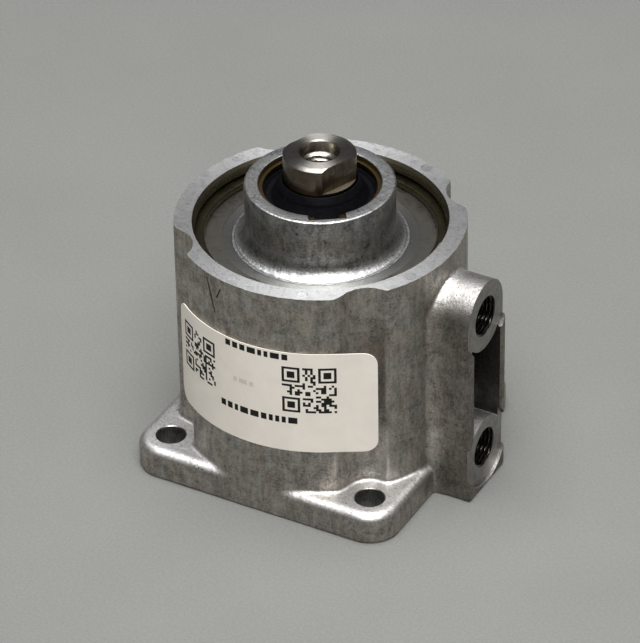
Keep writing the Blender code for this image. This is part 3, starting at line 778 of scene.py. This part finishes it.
def build_wiper(looks):
    """Black wiper: a dished face with an outer bead, and a tapered lip up round the rod."""
    inner = ROD_R + 0.2
    outer = BOSS_BORE_R - 0.2
    lip_z = WIPER_HIGH.z
    face_z = lip_z - WIPER_LIP_HEIGHT
    outline = [
        (inner, WIPER_LOW.z, 0.1),
        (outer, WIPER_LOW.z, 0.2),
        (outer, face_z + 0.7, 0.3),
        (outer - 0.9, face_z + 0.7, 0.3),
        (outer - 1.4, face_z, 0.4),
        (inner + 2.5, face_z - 0.2, 0.7),
        (inner + 1.25, lip_z - 2.0, 0.3),
        (inner + 1.1, lip_z - 1.4, 0.25),
        (inner + 0.3, lip_z, 0.15),
        (inner, lip_z, 0.1),
    ]
    wiper = turned("moulded_wiper", rounded(outline))
    finish_piece(wiper, "housing", "rod_wiper", [looks["rubber"]], 60)


# Rod


def rod_profile():
    mouth_floor = ROD_END_Z - ROD_MOUTH_DEPTH
    tap_end = ROD_LOW.z + ROD_TAP_DEPTH
    outline = [
        (0, tap_end, 0),
        (ROD_TAP_R, tap_end, 0),
        (ROD_TAP_R, ROD_LOW.z, 0.2),
        (ROD_R, ROD_LOW.z, 0.3),
        (ROD_R, ROD_END_Z - ROD_CHAMFER_DEPTH, 0.12),
        (ROD_R - ROD_CHAMFER_WIDTH, ROD_END_Z, 0.12),
        (ROD_MOUTH_R + 0.25, ROD_END_Z, 0.08),
        (ROD_MOUTH_R, ROD_END_Z - 0.25, 0.08),
        (ROD_MOUTH_R, mouth_floor, 0.08),
        (0, mouth_floor - 0.2, 0),
    ]
    return rounded(outline)


def wrench_flat_cutters():
    cutters = []
    for side in (1, -1):
        near, far = sorted((side * FLATS_HALF, side * (ROD_R + 2)))
        low = (near, -ROD_R - 1, ROD_END_Z - FLATS_LENGTH)
        flat = block("wrench_flat", low, (far, ROD_R + 1, ROD_END_Z + 2))
        flat.data.transform(Matrix.Rotation(FLATS_ANGLE, 4, "Z"))
        cutters.append(flat)
    return cutters


def rod_slots(mesh):
    """Give every face its look: ground cylinder, then the thread, the flats and the faced end."""
    flat_normal = Vector((math.cos(FLATS_ANGLE), math.sin(FLATS_ANGLE), 0))
    near = 0.05
    for face in mesh.polygons:
        centre = face.center / MM
        below_end = ROD_END_Z - centre.z
        in_bore = math.hypot(centre.x, centre.y) < ROD_MOUTH_R + near
        on_flat = (abs(face.normal.dot(flat_normal)) > 0.98
                   and abs(abs(centre.dot(flat_normal)) - FLATS_HALF) < near)
        look = "ground"
        if in_bore and centre.z > ROD_LOW.z + ROD_TAP_DEPTH + 1:
            look = "rod_thread"
        elif on_flat and below_end < FLATS_LENGTH + near:
            look = "milled"
        elif below_end < ROD_CHAMFER_DEPTH + near:
            look = "faced_rod"
        # Upward faces under the flats take the lighter ledge look, a painted highlight.
        elif face.normal.z > 0.9:
            look = "ledge"
        face.material_index = ROD_LOOKS.index(look)


def build_rod(looks):
    rod = turned("ground_rod", rod_profile())
    thread_low = ROD_END_Z - ROD_THREAD_DEPTH
    thread_high = ROD_END_Z - ROD_MOUTH_DEPTH
    thread = threaded_plug("rod_thread", ROD_THREAD, thread_low, thread_high, ROD_MOUTH_R, 2.0)
    cut_away(rod, [*wrench_flat_cutters(), thread])
    materials = [looks[name] for name in ROD_LOOKS]
    finish_piece(rod, "piston_rod", "piston_rod", materials)
    rod_slots(rod.data)


# Inner pieces, turned again from the sections of their solids


def section_of(node):
    """Closed (radius, z) outline of a turned solid, read where it crosses the XZ plane."""
    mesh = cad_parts[node].data
    keys = []
    for vertex in mesh.vertices:
        x, y, z = vertex.co / MM
        on_plane = abs(y) < 1e-3 and x > -1e-3
        keys.append((round(x, 3), round(z, 3)) if on_plane else None)
    beside = {}
    for edge in mesh.edges:
        first, second = keys[edge.vertices[0]], keys[edge.vertices[1]]
        if first is None or second is None or first == second:
            continue
        beside.setdefault(first, set()).add(second)
        beside.setdefault(second, set()).add(first)
    start = min(beside)
    path = [start]
    following = min(beside[start])
    while following != start:
        path.append(following)
        onward = [key for key in beside[following] if key != path[-2]]
        following = onward[0]
    area = sum(a[0] * b[1] - b[0] * a[1] for a, b in zip(path, path[1:] + path[:1]))
    return path if area > 0 else path[::-1]


def build_inner_piece(node, body, edge, material):
    outline = [(radius, z, edge) for radius, z in section_of(node)]
    piece = turned(f"{node}_fine", rounded(outline, 3), 128)
    finish_piece(piece, body, node, [material])


def build_inner_pieces(looks):
    rubber = ("nitrile_rubber", 0.15, looks["rubber"])
    steel = ("bright_steel", 0.08, looks["steel"])
    for node, body, (slot, edge, material) in (
        ("piston", "piston_rod", ("turned_aluminium", 0.15, looks["turned"])),
        ("rod_bush", "housing", ("sintered_bronze", 0.15, looks["bronze"])),
        ("seal_washer", "housing", steel),
        ("piston_screw_washer", "piston_rod", steel),
        ("rod_seal", "housing", rubber),
        ("cap_o_ring", "housing", ("nitrile_rubber", 0.4, looks["rubber"])),
        ("rod_o_ring", "piston_rod", ("nitrile_rubber", 0.4, looks["rubber"])),
        ("lower_piston_seal", "piston_seals", rubber),
        ("upper_piston_seal", "piston_seals", rubber),
        ("upper_bumper", "housing", rubber),
        ("lower_bumper", "housing", rubber),
    ):
        build_inner_piece(node, body, edge, material)
    set_material("piston_screw", looks["steel"])
    set_material("piston_guide_ring", looks["guide"])


def set_material(node, material):
    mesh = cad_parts[node].data
    mesh.materials.clear()
    mesh.materials.append(material)


# Label: a thin sheet whose printed marks are faces with their own material


def code_squares(rows, seed):
    """Filled cells of a made-up square code: three corner marks and random cells."""
    draw = random.Random(seed)
    filled = set()
    for row in range(rows):
        for column in range(rows):
            if draw.random() < 0.5:
                filled.add((column, row))
    corner = 7
    for left, low in ((0, 0), (0, rows - corner), (rows - corner, rows - corner)):
        for column in range(-1, corner + 1):
            for row in range(-1, corner + 1):
                ring = max(abs(column - 3), abs(row - 3))
                cell = (left + column, low + row)
                filled.discard(cell)
                if ring in (0, 1, 3):
                    filled.add(cell)
    return [cell for cell in sorted(filled) if 0 <= cell[0] < rows and 0 <= cell[1] < rows]


def bar_row(start, end, low, high, seed):
    """Plain bars of uneven length in a row, as (from, to, low, high) rectangles."""
    draw = random.Random(seed)
    bars = []
    along = start
    while along < end - SHORTEST_BAR:
        length = min(draw.choice(BAR_LENGTHS), end - along)
        bars.append((along, along + length, low, high))
        along += length + BAR_GAP
    return bars


def code_marks():
    """Cells of both codes as (from, to, low, high): millimetres round the body and in height."""
    marks = []
    cell = CODE_WIDTH / CODE_ROWS
    for start, seed in CODE_STARTS_AND_SEEDS:
        for column, row in code_squares(CODE_ROWS, seed):
            left = start + column * cell
            low = CODE_Z + row * cell
            marks.append((left, left + cell, low, low + cell))
    return marks


def label_grid(values, low, high, largest):
    """Sorted unique grid lines, with extra ones so that no gap is wider than largest."""
    lines = sorted({round(value, 4) for value in [low, high, *values] if low <= value <= high})
    full = [lines[0]]
    for line in lines[1:]:
        gap = line - full[-1]
        if gap < 0.01:
            continue
        pieces = math.ceil(gap / largest)
        begin = full[-1]
        full += [begin + gap * step / pieces for step in range(1, pieces + 1)]
    return full


def label_lines(marks):
    """Grid lines round the body and in height, on the edges of every mark and in the corners."""
    corner = [LABEL_CORNER_R * (1 - math.cos(step * math.pi / 16)) for step in range(9)]
    across = [value for mark in marks for value in mark[:2]]
    across += corner + [LABEL_LENGTH - value for value in corner]
    upward = [value for mark in marks for value in mark[2:]]
    return (
        label_grid(across, 0, LABEL_LENGTH, LARGEST_LABEL_STEP),
        label_grid(upward, LABEL_LOW.z, LABEL_HIGH.z, LARGEST_LABEL_RISE),
    )


def cells_under(marks, stations, levels):
    """Grid cells, as (column, level), whose middle lies in a mark."""
    columns, rows = (
        [(first + second) / 2 for first, second in zip(lines, lines[1:])]
        for lines in (stations, levels)
    )
    cells = set()
    for start, end, bottom, top in marks:
        wide = [index for index, middle in enumerate(columns) if start < middle < end]
        tall = [index for index, middle in enumerate(rows) if bottom < middle < top]
        cells.update((column, level) for column in wide for level in tall)
    return cells


def label_edge(along):
    """Lowest and highest point of the rounded label at a distance round the body."""
    reach = max(LABEL_CORNER_R - along, along - (LABEL_LENGTH - LABEL_CORNER_R), 0)
    rounding = LABEL_CORNER_R - math.sqrt(max(LABEL_CORNER_R ** 2 - reach ** 2, 0))
    return LABEL_LOW.z + rounding, LABEL_HIGH.z - rounding


def label_point(along, radius, z):
    """Point of the label: round the body first, then straight on over the flute."""
    lift_off = (LABEL_LIFT_OFF - LABEL_START) * BODY_R
    angle = LABEL_START + min(along, lift_off) / BODY_R
    straight = max(along - lift_off, 0)
    x = radius * math.cos(angle) - straight * math.sin(angle)
    y = radius * math.sin(angle) + straight * math.cos(angle)
    return (x, y, z)


def label_rim(columns, rows):
    """Indices of the points once round the edge of a grid."""
    rim = [column * rows for column in range(columns)]
    rim += [(columns - 1) * rows + level for level in range(1, rows)]
    rim += [column * rows + rows - 1 for column in range(columns - 2, -1, -1)]
    return rim + list(range(rows - 2, 0, -1))


def build_label():
    """Thin sheet of two grids of points, and the place of each face's look in LABEL_LOOKS."""
    dark_marks = code_marks() + [bar for row in DARK_BAR_ROWS for bar in bar_row(*row)]
    faint_marks = bar_row(*FAINT_BAR_ROW)
    stations, levels = label_lines(dark_marks + faint_marks)
    dark = cells_under(dark_marks, stations, levels)
    faint = cells_under(faint_marks, stations, levels)
    points = []
    for radius in (LABEL_INNER_R, LABEL_OUTER_R):
        for along in stations:
            bottom, top = label_edge(along)
            points += [label_point(along, radius, min(max(level, bottom), top)) for level in levels]
    rows = len(levels)
    layer = rows * len(stations)
    faces = []
    indices = []
    for column in range(len(stations) - 1):
        for level in range(rows - 1):
            here = column * rows + level
            back = (here + 1, here + rows + 1, here + rows, here)
            faces += [tuple(index + layer for index in back[::-1]), back]
            cell = (column, level)
            look = "ink" if cell in dark else "faint_ink" if cell in faint else "paper"
            indices += [LABEL_LOOKS.index(look), 0]
    rim = label_rim(len(stations), rows)
    for first, second in zip(rim, rim[1:] + rim[:1]):
        faces.append((first, second, second + layer, first + layer))
        indices.append(0)
    return mesh_object("paper_label", points, faces), indices


def add_label(looks):
    label, indices = build_label()
    materials = [looks[name] for name in LABEL_LOOKS]
    finish_piece(label, "housing", "identification_label", materials)
    label.data.polygons.foreach_set("material_index", indices)
    weld = label.modifiers.new("weld", "WELD")
    weld.merge_threshold = 0.01 * MM
    graph = bpy.context.evaluated_depsgraph_get()
    merged = bpy.data.meshes.new_from_object(label.evaluated_get(graph))
    label.modifiers.clear()
    label.data = merged


# Materials


def add_node(tree, kind, inputs=None, **settings):
    """New node with its settings; an input is either a value or another node's socket."""
    node = tree.nodes.new(kind)
    for name, value in settings.items():
        setattr(node, name, value)
    for name, value in (inputs or {}).items():
        if isinstance(value, bpy.types.NodeSocket):
            tree.links.new(value, node.inputs[name])
        else:
            node.inputs[name].default_value = value
    return node


def start_material(name, metallic, roughness):
    """Material with its tree, shader and object coordinates."""
    material = bpy.data.materials.new(name)
    material.use_nodes = True
    tree = material.node_tree
    shader = tree.nodes["Principled BSDF"]
    shader.inputs["Metallic"].default_value = metallic
    shader.inputs["Roughness"].default_value = roughness
    place = add_node(tree, "ShaderNodeTexCoord").outputs["Object"]
    return material, tree, shader, place


def stretch(tree, place, scale):
    return add_node(tree, "ShaderNodeMapping", {"Vector": place, "Scale": scale}).outputs["Vector"]


def noise(tree, place, size, detail=4.0, roughness=0.6, distortion=0.0):
    """Random values whose blotches are about size millimetres across."""
    return add_node(tree, "ShaderNodeTexNoise", {
        "Vector": place,
        "Scale": 1 / (size * MM),
        "Detail": detail,
        "Roughness": roughness,
        "Distortion": distortion,
    }).outputs["Fac"]


def remap(tree, value, low, high, to_low=0.0, to_high=1.0):
    return add_node(tree, "ShaderNodeMapRange", {
        "Value": value,
        "From Min": low,
        "From Max": high,
        "To Min": to_low,
        "To Max": to_high,
    }).outputs["Result"]


def multiply(tree, first, second):
    return add_node(tree, "ShaderNodeMath", {0: first, 1: second}, operation="MULTIPLY").outputs[0]


def add(tree, first, second):
    return add_node(tree, "ShaderNodeMath", {0: first, 1: second}, operation="ADD").outputs[0]


def weighted_sum(tree, *terms):
    """Sum of values, each times its weight, from (value, weight) pairs."""
    weighted = [multiply(tree, value, weight) for value, weight in terms]
    total = weighted[0]
    for term in weighted[1:]:
        total = add(tree, total, term)
    return total


def vector_math(tree, operation, *vectors):
    inputs = dict(enumerate(vectors))
    return add_node(tree, "ShaderNodeVectorMath", inputs, operation=operation)


def component(tree, vector, axis):
    return add_node(tree, "ShaderNodeSeparateXYZ", {"Vector": vector}).outputs[axis]


def to_world(tree, direction):
    """Turn a direction from the object's space to the world's."""
    return add_node(tree, "ShaderNodeVectorTransform", {"Vector": direction},
                    vector_type="VECTOR", convert_from="OBJECT", convert_to="WORLD").outputs[0]


def scaled(values, factor):
    return tuple(value * factor for value in values)


def blend_colour(tree, amount, first, second, blend_type="MIX"):
    """Mix two colours, each a socket or an (r, g, b) triple, by an amount."""
    node = add_node(tree, "ShaderNodeMix", data_type="RGBA", blend_type=blend_type)
    for index, value in ((0, amount), (6, first), (7, second)):
        if isinstance(value, bpy.types.NodeSocket):
            tree.links.new(value, node.inputs[index])
        elif isinstance(value, tuple):
            node.inputs[index].default_value = (*value, 1.0)
        else:
            node.inputs[index].default_value = value
    return node.outputs[2]


def bump(tree, shader, height, distance):
    inputs = {"Height": height, "Distance": distance * MM, "Strength": 1.0}
    node = add_node(tree, "ShaderNodeBump", inputs)
    tree.links.new(node.outputs["Normal"], shader.inputs["Normal"])


def connect(tree, shader, **sockets):
    names = {"colour": "Base Color", "roughness": "Roughness", "tangent": "Tangent"}
    for key, socket in sockets.items():
        tree.links.new(socket, shader.inputs[names[key]])


def radial_tangent(tree, place, centre, flat):
    """Direction away from an axis in world space, and the offset from that axis.

    The mask flat is 0 along the axis and 1 across it.
    """
    offset = vector_math(tree, "SUBTRACT", place, scaled(centre, MM)).outputs["Vector"]
    across = vector_math(tree, "MULTIPLY", offset, flat).outputs["Vector"]
    unit = vector_math(tree, "NORMALIZE", across).outputs["Vector"]
    return to_world(tree, unit), across


def turning_rings(tree, across, spacing):
    """Uneven concentric tool marks about spacing millimetres apart."""
    distance = vector_math(tree, "LENGTH", across).outputs["Value"]
    line = add_node(tree, "ShaderNodeCombineXYZ", {"X": distance}).outputs["Vector"]
    return noise(tree, line, spacing, 3.0, 0.7)


def cast_look(name, dark, light, seed_shift, grain=1.0, painted_top_light=0.0, roughness=0.48, pitting=0.7):
    """Tumbled die-cast aluminium: mottled bluish and brownish skin with dark pitted patches."""
    material, tree, shader, place = start_material(name, 1.0, roughness)
    place = vector_math(tree, "ADD", place, (seed_shift, 0.0, 0.0)).outputs["Vector"]
    blotch = remap(tree, noise(tree, place, 3.5, 6.0, 0.75, 0.6), 0.38, 0.62)
    fine = remap(tree, noise(tree, place, 0.5, 4.0, 0.75), 0.38, 0.62)
    streak = remap(tree, noise(tree, stretch(tree, place, (1.0, 1.0, 0.2)), 1.2, 4.0, 0.65), 0.38, 0.62)
    mottle = weighted_sum(tree, (blotch, 0.35), (fine, 0.35), (streak, 0.3))
    tint = remap(tree, noise(tree, place, 5.0, 4.0, 0.6), 0.42, 0.58)
    shade = blend_colour(tree, tint, (1.02, 0.99, 0.95), (0.98, 1.0, 1.0))
    colour = blend_colour(tree, 1.0, blend_colour(tree, mottle, dark, light), shade, "MULTIPLY")
    normal = add_node(tree, "ShaderNodeTexCoord").outputs["Normal"]
    # Painted light: faces that point up are lightened towards near white, standing for light falling on
    # their tops.
    upward = remap(tree, component(tree, normal, "Z"), 0.3, 0.9)
    top_light_colour = blend_colour(tree, mottle, scaled(light, 0.75), (0.96, 0.96, 0.97))
    colour = blend_colour(tree, multiply(tree, upward, painted_top_light), colour, top_light_colour)
    pits = remap(tree, noise(tree, place, 0.8, 6.0, 0.8, 0.8), 0.53, 0.60)
    crowded = remap(tree, blotch, 0.0, 0.8, pitting, pitting * 0.2)
    colour = blend_colour(tree, multiply(tree, pits, crowded), colour, scaled(dark, 0.35))
    speck = remap(tree, noise(tree, place, 0.6, 2.0, 0.5), 0.72, 0.76)
    colour = blend_colour(tree, speck, colour, (0.012, 0.011, 0.010))
    # Darker colour towards the port block, from x 32 mm to 35 mm.
    toward_ports = remap(tree, component(tree, place, "X"), 32 * MM, 35 * MM)
    port_darkened_colour = blend_colour(tree, 1.0, colour, (0.56, 0.55, 0.54), "MULTIPLY")
    colour = blend_colour(tree, toward_ports, colour, port_darkened_colour)
    rough = remap(tree, mottle, 0.2, 0.9, roughness * 1.17, roughness * 0.83)
    connect(tree, shader, colour=colour, roughness=rough)
    grit = noise(tree, place, 0.45, 3.0, 0.6)
    lumps = noise(tree, place, 1.6, 4.0, 0.55)
    bump(tree, shader, weighted_sum(tree, (grit, 0.55), (lumps, 0.65)), 0.12 * grain)
    return material


def faced_look(name, dark, light, roughness, anisotropy,
               centre=(0, 0, 0), flat=(1.0, 1.0, 0.0), wear=0.5):
    """Metal faced on a lathe: concentric marks about an axis, small stains and scratches."""
    material, tree, shader, place = start_material(name, 1.0, roughness)
    shader.inputs["Anisotropic"].default_value = anisotropy
    tangent, across = radial_tangent(tree, place, centre, flat)
    rings = turning_rings(tree, across, 0.22)
    cloud = noise(tree, place, 2.0, 7.0, 0.75, 0.5)
    patch = remap(tree, cloud, 0.38, 0.62)
    tone = weighted_sum(tree, (rings, 0.3), (patch, 0.7))
    colour = blend_colour(tree, tone, dark, light)
    pits = remap(tree, noise(tree, place, 0.7, 5.0, 0.8, 0.6), 0.56, 0.62)
    colour = blend_colour(tree, multiply(tree, pits, wear), colour, scaled(dark, 0.45))
    nick = remap(tree, noise(tree, stretch(tree, place, (1.0, 0.25, 1.0)), 0.4, 2.0, 0.5), 0.66, 0.72)
    colour = blend_colour(tree, multiply(tree, nick, wear), colour,
                          tuple(min(value * 1.35, 0.95) for value in light))
    connect(tree, shader, colour=colour, tangent=tangent,
            roughness=remap(tree, patch, 0.0, 1.0, roughness * 1.2, roughness * 0.85))
    bump(tree, shader, add(tree, rings, cloud), 0.012 + 0.03 * wear)
    return material


def axial_look(name, dark, light, roughness, line_size=0.25):
    """Bored or ground round surface: fine lines that run round the axis."""
    material, tree, shader, place = start_material(name, 1.0, roughness)
    shader.inputs["Anisotropic"].default_value = 0.6
    upright = to_world(tree, (0.0, 0.0, 1.0))
    lines = noise(tree, stretch(tree, place, (0.04, 0.04, 1.0)), line_size, 4.0, 0.7)
    patch = noise(tree, place, 4.0, 5.0, 0.65, 0.4)
    tone = remap(tree, weighted_sum(tree, (lines, 0.5), (patch, 0.5)), 0.3, 0.7)
    colour = blend_colour(tree, tone, dark, light)
    connect(tree, shader, colour=colour, tangent=upright,
            roughness=remap(tree, tone, 0.0, 1.0, roughness * 1.2, roughness * 0.8))
    bump(tree, shader, lines, 0.01)
    return material


def brushed_look(name, dark, light, roughness):
    """Milled flats and small steel parts: short crossing marks and faint stains."""
    material, tree, shader, place = start_material(name, 1.0, roughness)
    strokes = noise(tree, stretch(tree, place, (1.0, 1.0, 0.12)), 0.3, 4.0, 0.7)
    patch = noise(tree, place, 2.5, 5.0, 0.6, 0.5)
    tone = remap(tree, add(tree, strokes, patch), 0.75, 1.25)
    connect(tree, shader, colour=blend_colour(tree, tone, dark, light),
            roughness=remap(tree, tone, 0.0, 1.0, roughness * 1.25, roughness * 0.8))
    bump(tree, shader, strokes, 0.008)
    return material


def zinc_look(name, dark, light):
    """Yellow passivated zinc: gold with greenish and brownish clouds."""
    material, tree, shader, place = start_material(name, 1.0, 0.28)
    cloud = remap(tree, noise(tree, place, 2.0, 5.0, 0.6, 1.0), 0.30, 0.70)
    tint = remap(tree, noise(tree, place, 5.0, 4.0, 0.5), 0.4, 0.6)
    colour = blend_colour(tree, cloud, dark, light)
    colour = blend_colour(tree, multiply(tree, tint, 0.5), colour,
                          (dark[0] * 1.1, dark[1] * 1.3, dark[2] * 1.3))
    connect(tree, shader, colour=colour, roughness=remap(tree, cloud, 0.0, 1.0, 0.36, 0.22))
    bump(tree, shader, noise(tree, place, 0.6, 3.0, 0.6), 0.006)
    return material


def rubber_look():
    """Greased black rubber: fine texture, a glossier film in patches and grey dust."""
    material, tree, shader, place = start_material("oily_rubber", 0.0, 0.4)
    shader.inputs["Specular IOR Level"].default_value = 0.05
    film = remap(tree, noise(tree, place, 2.2, 5.0, 0.6, 0.8), 0.4, 0.62)
    dust = remap(tree, noise(tree, place, 0.35, 4.0, 0.7), 0.64, 0.70)
    black, grey = (0.003, 0.003, 0.004), (0.12, 0.115, 0.11)
    colour = blend_colour(tree, multiply(tree, dust, 0.25), black, grey)
    connect(tree, shader, colour=colour, roughness=remap(tree, film, 0.0, 1.0, 0.6, 0.3))
    bump(tree, shader, noise(tree, place, 0.4, 4.0, 0.65), 0.03)
    return material


def porous_look(name, dark, light, metallic, roughness, size):
    """Sintered or filled material: grains with dark pores between them."""
    material, tree, shader, place = start_material(name, metallic, roughness)
    grains = noise(tree, place, size, 5.0, 0.7)
    pores = remap(tree, grains, 0.36, 0.46)
    cloud = remap(tree, noise(tree, place, size * 8, 4.0, 0.6), 0.35, 0.65)
    shade = blend_colour(tree, cloud, dark, light)
    connect(tree, shader, colour=blend_colour(tree, pores, scaled(dark, 0.4), shade),
            roughness=remap(tree, pores, 0.0, 1.0, roughness * 1.3, roughness))
    bump(tree, shader, pores, 0.015)
    return material


def paper_look(name, colour_low, colour_high, roughness, specular=0.5):
    """Satin paper or the ink on it: faint fibres and handling marks."""
    material, tree, shader, place = start_material(name, 0.0, roughness)
    shader.inputs["Specular IOR Level"].default_value = specular
    fibre = noise(tree, place, 0.3, 5.0, 0.7)
    smudge = noise(tree, place, 6.0, 5.0, 0.6, 0.5)
    tone = remap(tree, add(tree, multiply(tree, fibre, 0.5), smudge), 0.5, 1.0)
    connect(tree, shader, colour=blend_colour(tree, tone, colour_low, colour_high),
            roughness=remap(tree, smudge, 0.3, 0.7, roughness * 0.9, roughness * 1.1))
    bump(tree, shader, fibre, 0.006)
    return material


def floor_look():
    """Pale grey card with a fine grain."""
    material, tree, shader, place = start_material("grey_card", 0.0, 0.85)
    grain = remap(tree, noise(tree, place, 0.6, 5.0, 0.8), 0.36, 0.64)
    cloud = remap(tree, noise(tree, place, 45.0, 3.0, 0.5), 0.3, 0.7)
    tone = weighted_sum(tree, (grain, 0.8), (cloud, 0.2))
    connect(tree, shader, colour=blend_colour(tree, tone, (0.138, 0.139, 0.131), (0.190, 0.192, 0.181)))
    bump(tree, shader, grain, 0.04)
    return material


def make_looks():
    port_flat = (0.0, 1.0, 1.0)
    return {
        # The cast and boss skins carry painted light on their upward faces.
        "cast": cast_look("cast_skin", (0.165, 0.151, 0.136), (0.55, 0.52, 0.482), 0.0, painted_top_light=0.95),
        "boss": cast_look("cast_boss", (0.06, 0.06, 0.06), (0.40, 0.40, 0.40), -0.31, 1.3,
                          painted_top_light=0.6, roughness=0.38, pitting=1.0),
        # Much darker cast skin for the hollow between the ports: painted shade in the recess.
        "pocket": cast_look("pocket_painted_shade", (0.045, 0.042, 0.039), (0.15, 0.144, 0.135), -0.17),
        "rim": faced_look("faced_rim", (0.45, 0.45, 0.45), (0.92, 0.92, 0.92), 0.45, 0.4, wear=0.45),
        "ejector": faced_look("ejector_mark", (0.31, 0.31, 0.315), (0.69, 0.69, 0.70),
                              0.5, 0.6, wear=0.7),
        "base": faced_look("ground_base", (0.35, 0.35, 0.35), (0.6, 0.6, 0.6), 0.35, 0.5),
        "lower_pad": faced_look("faced_lower_pad", (0.19, 0.18, 0.165), (0.33, 0.32, 0.30), 0.36, 0.6,
                                (0, 0, LOWER_PORT_Z), port_flat, 0.15),
        "upper_pad": faced_look("faced_upper_pad", (0.19, 0.18, 0.165), (0.33, 0.32, 0.30), 0.36, 0.6,
                                (0, 0, UPPER_PORT_Z), port_flat, 0.15),
        "disc": faced_look("turned_disc", (0.33, 0.31, 0.27), (0.50, 0.475, 0.43), 0.3, 0.3, wear=0.1),
        "band": faced_look("turned_band", (0.34, 0.34, 0.325), (0.60, 0.60, 0.58), 0.38, 0.7, wear=0.2),
        "bore": axial_look("bored_aluminium", (0.13, 0.115, 0.075), (0.34, 0.30, 0.215), 0.27),
        "hole": brushed_look("drilled_hole", (0.12, 0.116, 0.108), (0.48, 0.47, 0.45), 0.38),
        # Nearly black thread: painted shade inside the port holes.
        "thread": brushed_look("thread_painted_shade", (0.016, 0.014, 0.012), (0.11, 0.10, 0.088), 0.28),
        # Rod side and wrench flats are nearly black: painted dark reflection in the steel.
        "ground": axial_look("ground_steel_painted_dark", (0.05, 0.040, 0.029), (0.15, 0.125, 0.092), 0.2),
        "faced_rod": faced_look("faced_stainless", (0.22, 0.205, 0.185), (0.40, 0.38, 0.35),
                                0.38, 0.85, wear=0.2),
        "milled": brushed_look("milled_steel_painted_dark", (0.05, 0.041, 0.030), (0.15, 0.125, 0.092), 0.3),
        # The ledge is a much lighter, warmer copy of the milled steel: painted highlight on its upward
        # face.
        "ledge": brushed_look("ledge_painted_highlight", (0.24, 0.20, 0.14), (0.62, 0.54, 0.40), 0.42),
        "rod_thread": brushed_look("stainless_thread", (0.10, 0.088, 0.07), (0.42, 0.39, 0.34), 0.22),
        "turned": axial_look("turned_aluminium", (0.45, 0.45, 0.44), (0.7, 0.7, 0.69), 0.25),
        "steel": brushed_look("bright_steel", (0.35, 0.35, 0.36), (0.6, 0.6, 0.61), 0.25),
        "zinc": zinc_look("olive_zinc", (0.055, 0.050, 0.032), (0.19, 0.165, 0.09)),
        "gold_zinc": zinc_look("gold_zinc", (0.12, 0.08, 0.035), (0.42, 0.28, 0.11)),
        "rubber": rubber_look(),
        "bronze": porous_look("sintered_bronze", (0.35, 0.2, 0.08), (0.55, 0.36, 0.16), 1.0, 0.4, 0.2),
        "guide": porous_look("guide_plastic", (0.25, 0.14, 0.07), (0.36, 0.22, 0.12), 0.0, 0.5, 0.15),
        "paper": paper_look("satin_paper", (0.74, 0.685, 0.61), (0.82, 0.765, 0.69), 0.5),
        "ink": paper_look("black_ink", (0.006, 0.006, 0.006), (0.016, 0.016, 0.015), 0.6, 0.15),
        "faint_ink": paper_look("faint_ink", (0.58, 0.54, 0.48), (0.64, 0.60, 0.54), 0.5),
    }


# Stage, light and camera


def direction_to(azimuth, elevation):
    """Direction from the object towards a camera or lamp; azimuth 0 is the -Y side."""
    level = math.cos(elevation)
    return Vector((math.sin(azimuth) * level, -math.cos(azimuth) * level, math.sin(elevation)))


def camera_axes():
    """Right, up and back directions of the camera."""
    back = direction_to(CAMERA_AZIMUTH, CAMERA_ELEVATION)
    level = Vector((math.cos(CAMERA_AZIMUTH), math.sin(CAMERA_AZIMUTH), 0))
    upward = back.cross(level)
    right = level * math.cos(CAMERA_ROLL) + upward * math.sin(CAMERA_ROLL)
    up = upward * math.cos(CAMERA_ROLL) - level * math.sin(CAMERA_ROLL)
    return right, up, back


def add_camera():
    right, up, back = camera_axes()
    target = AIM_POINT + right * CAMERA_SHIFT_RIGHT + up * CAMERA_SHIFT_UP
    data = bpy.data.cameras.new("camera")
    data.lens = CAMERA_LENS
    data.sensor_width = CAMERA_SENSOR
    data.clip_end = CAMERA_REACH * MM
    camera = bpy.data.objects.new("camera", data)
    rotation = Matrix((right, up, back)).transposed().to_4x4()
    camera.matrix_world = Matrix.Translation((target + back * CAMERA_DISTANCE) * MM) @ rotation
    bpy.context.scene.collection.objects.link(camera)
    bpy.context.scene.camera = camera


def add_floor():
    corners = [(x * FLOOR_HALF, y * FLOOR_HALF, 0) for x, y in ((-1, -1), (1, -1), (1, 1), (-1, 1))]
    floor = mesh_object("floor", corners, [(0, 1, 2, 3)])
    floor.data.materials.append(floor_look())


def add_softbox(name, azimuth, elevation, width, height, power):
    """Rectangular lamp that looks at the object from an azimuth and elevation in degrees."""
    data = bpy.data.lights.new(name, "AREA")
    data.shape = "RECTANGLE"
    data.size = width * MM
    data.size_y = height * MM
    data.energy = power
    lamp = bpy.data.objects.new(name, data)
    direction = direction_to(math.radians(azimuth), math.radians(elevation))
    lamp.location = (AIM_POINT + direction * LAMP_DISTANCE) * MM
    lamp.rotation_euler = direction.to_track_quat("Z", "Y").to_euler()
    bpy.context.scene.collection.objects.link(lamp)


def add_world():
    """Dim room, darker near the horizon than overhead."""
    world = bpy.data.worlds.new("room")
    world.use_nodes = True
    tree = world.node_tree
    background = tree.nodes["Background"]
    direction = add_node(tree, "ShaderNodeTexCoord").outputs["Generated"]
    amount = remap(tree, component(tree, direction, "Z"), 0.0, 0.8)
    colour = blend_colour(tree, amount, (0.03, 0.03, 0.03), (0.16, 0.16, 0.163))
    tree.links.new(colour, background.inputs["Color"])
    background.inputs["Strength"].default_value = 1.0
    bpy.context.scene.world = world


def add_lights():
    add_softbox("overhead_softbox", 30, 80, width=1000, height=1400, power=34.0)
    add_softbox("front_key", 34, 50, width=400, height=300, power=4.6)


def main():
    bpy.context.scene.view_settings.view_transform = "Standard"
    looks = make_looks()
    build_housing(looks)
    build_cap(looks)
    build_retaining_rings(looks)
    build_wiper(looks)
    build_rod(looks)
    build_inner_pieces(looks)
    add_label(looks)
    add_floor()
    add_world()
    add_lights()
    add_camera()


main()
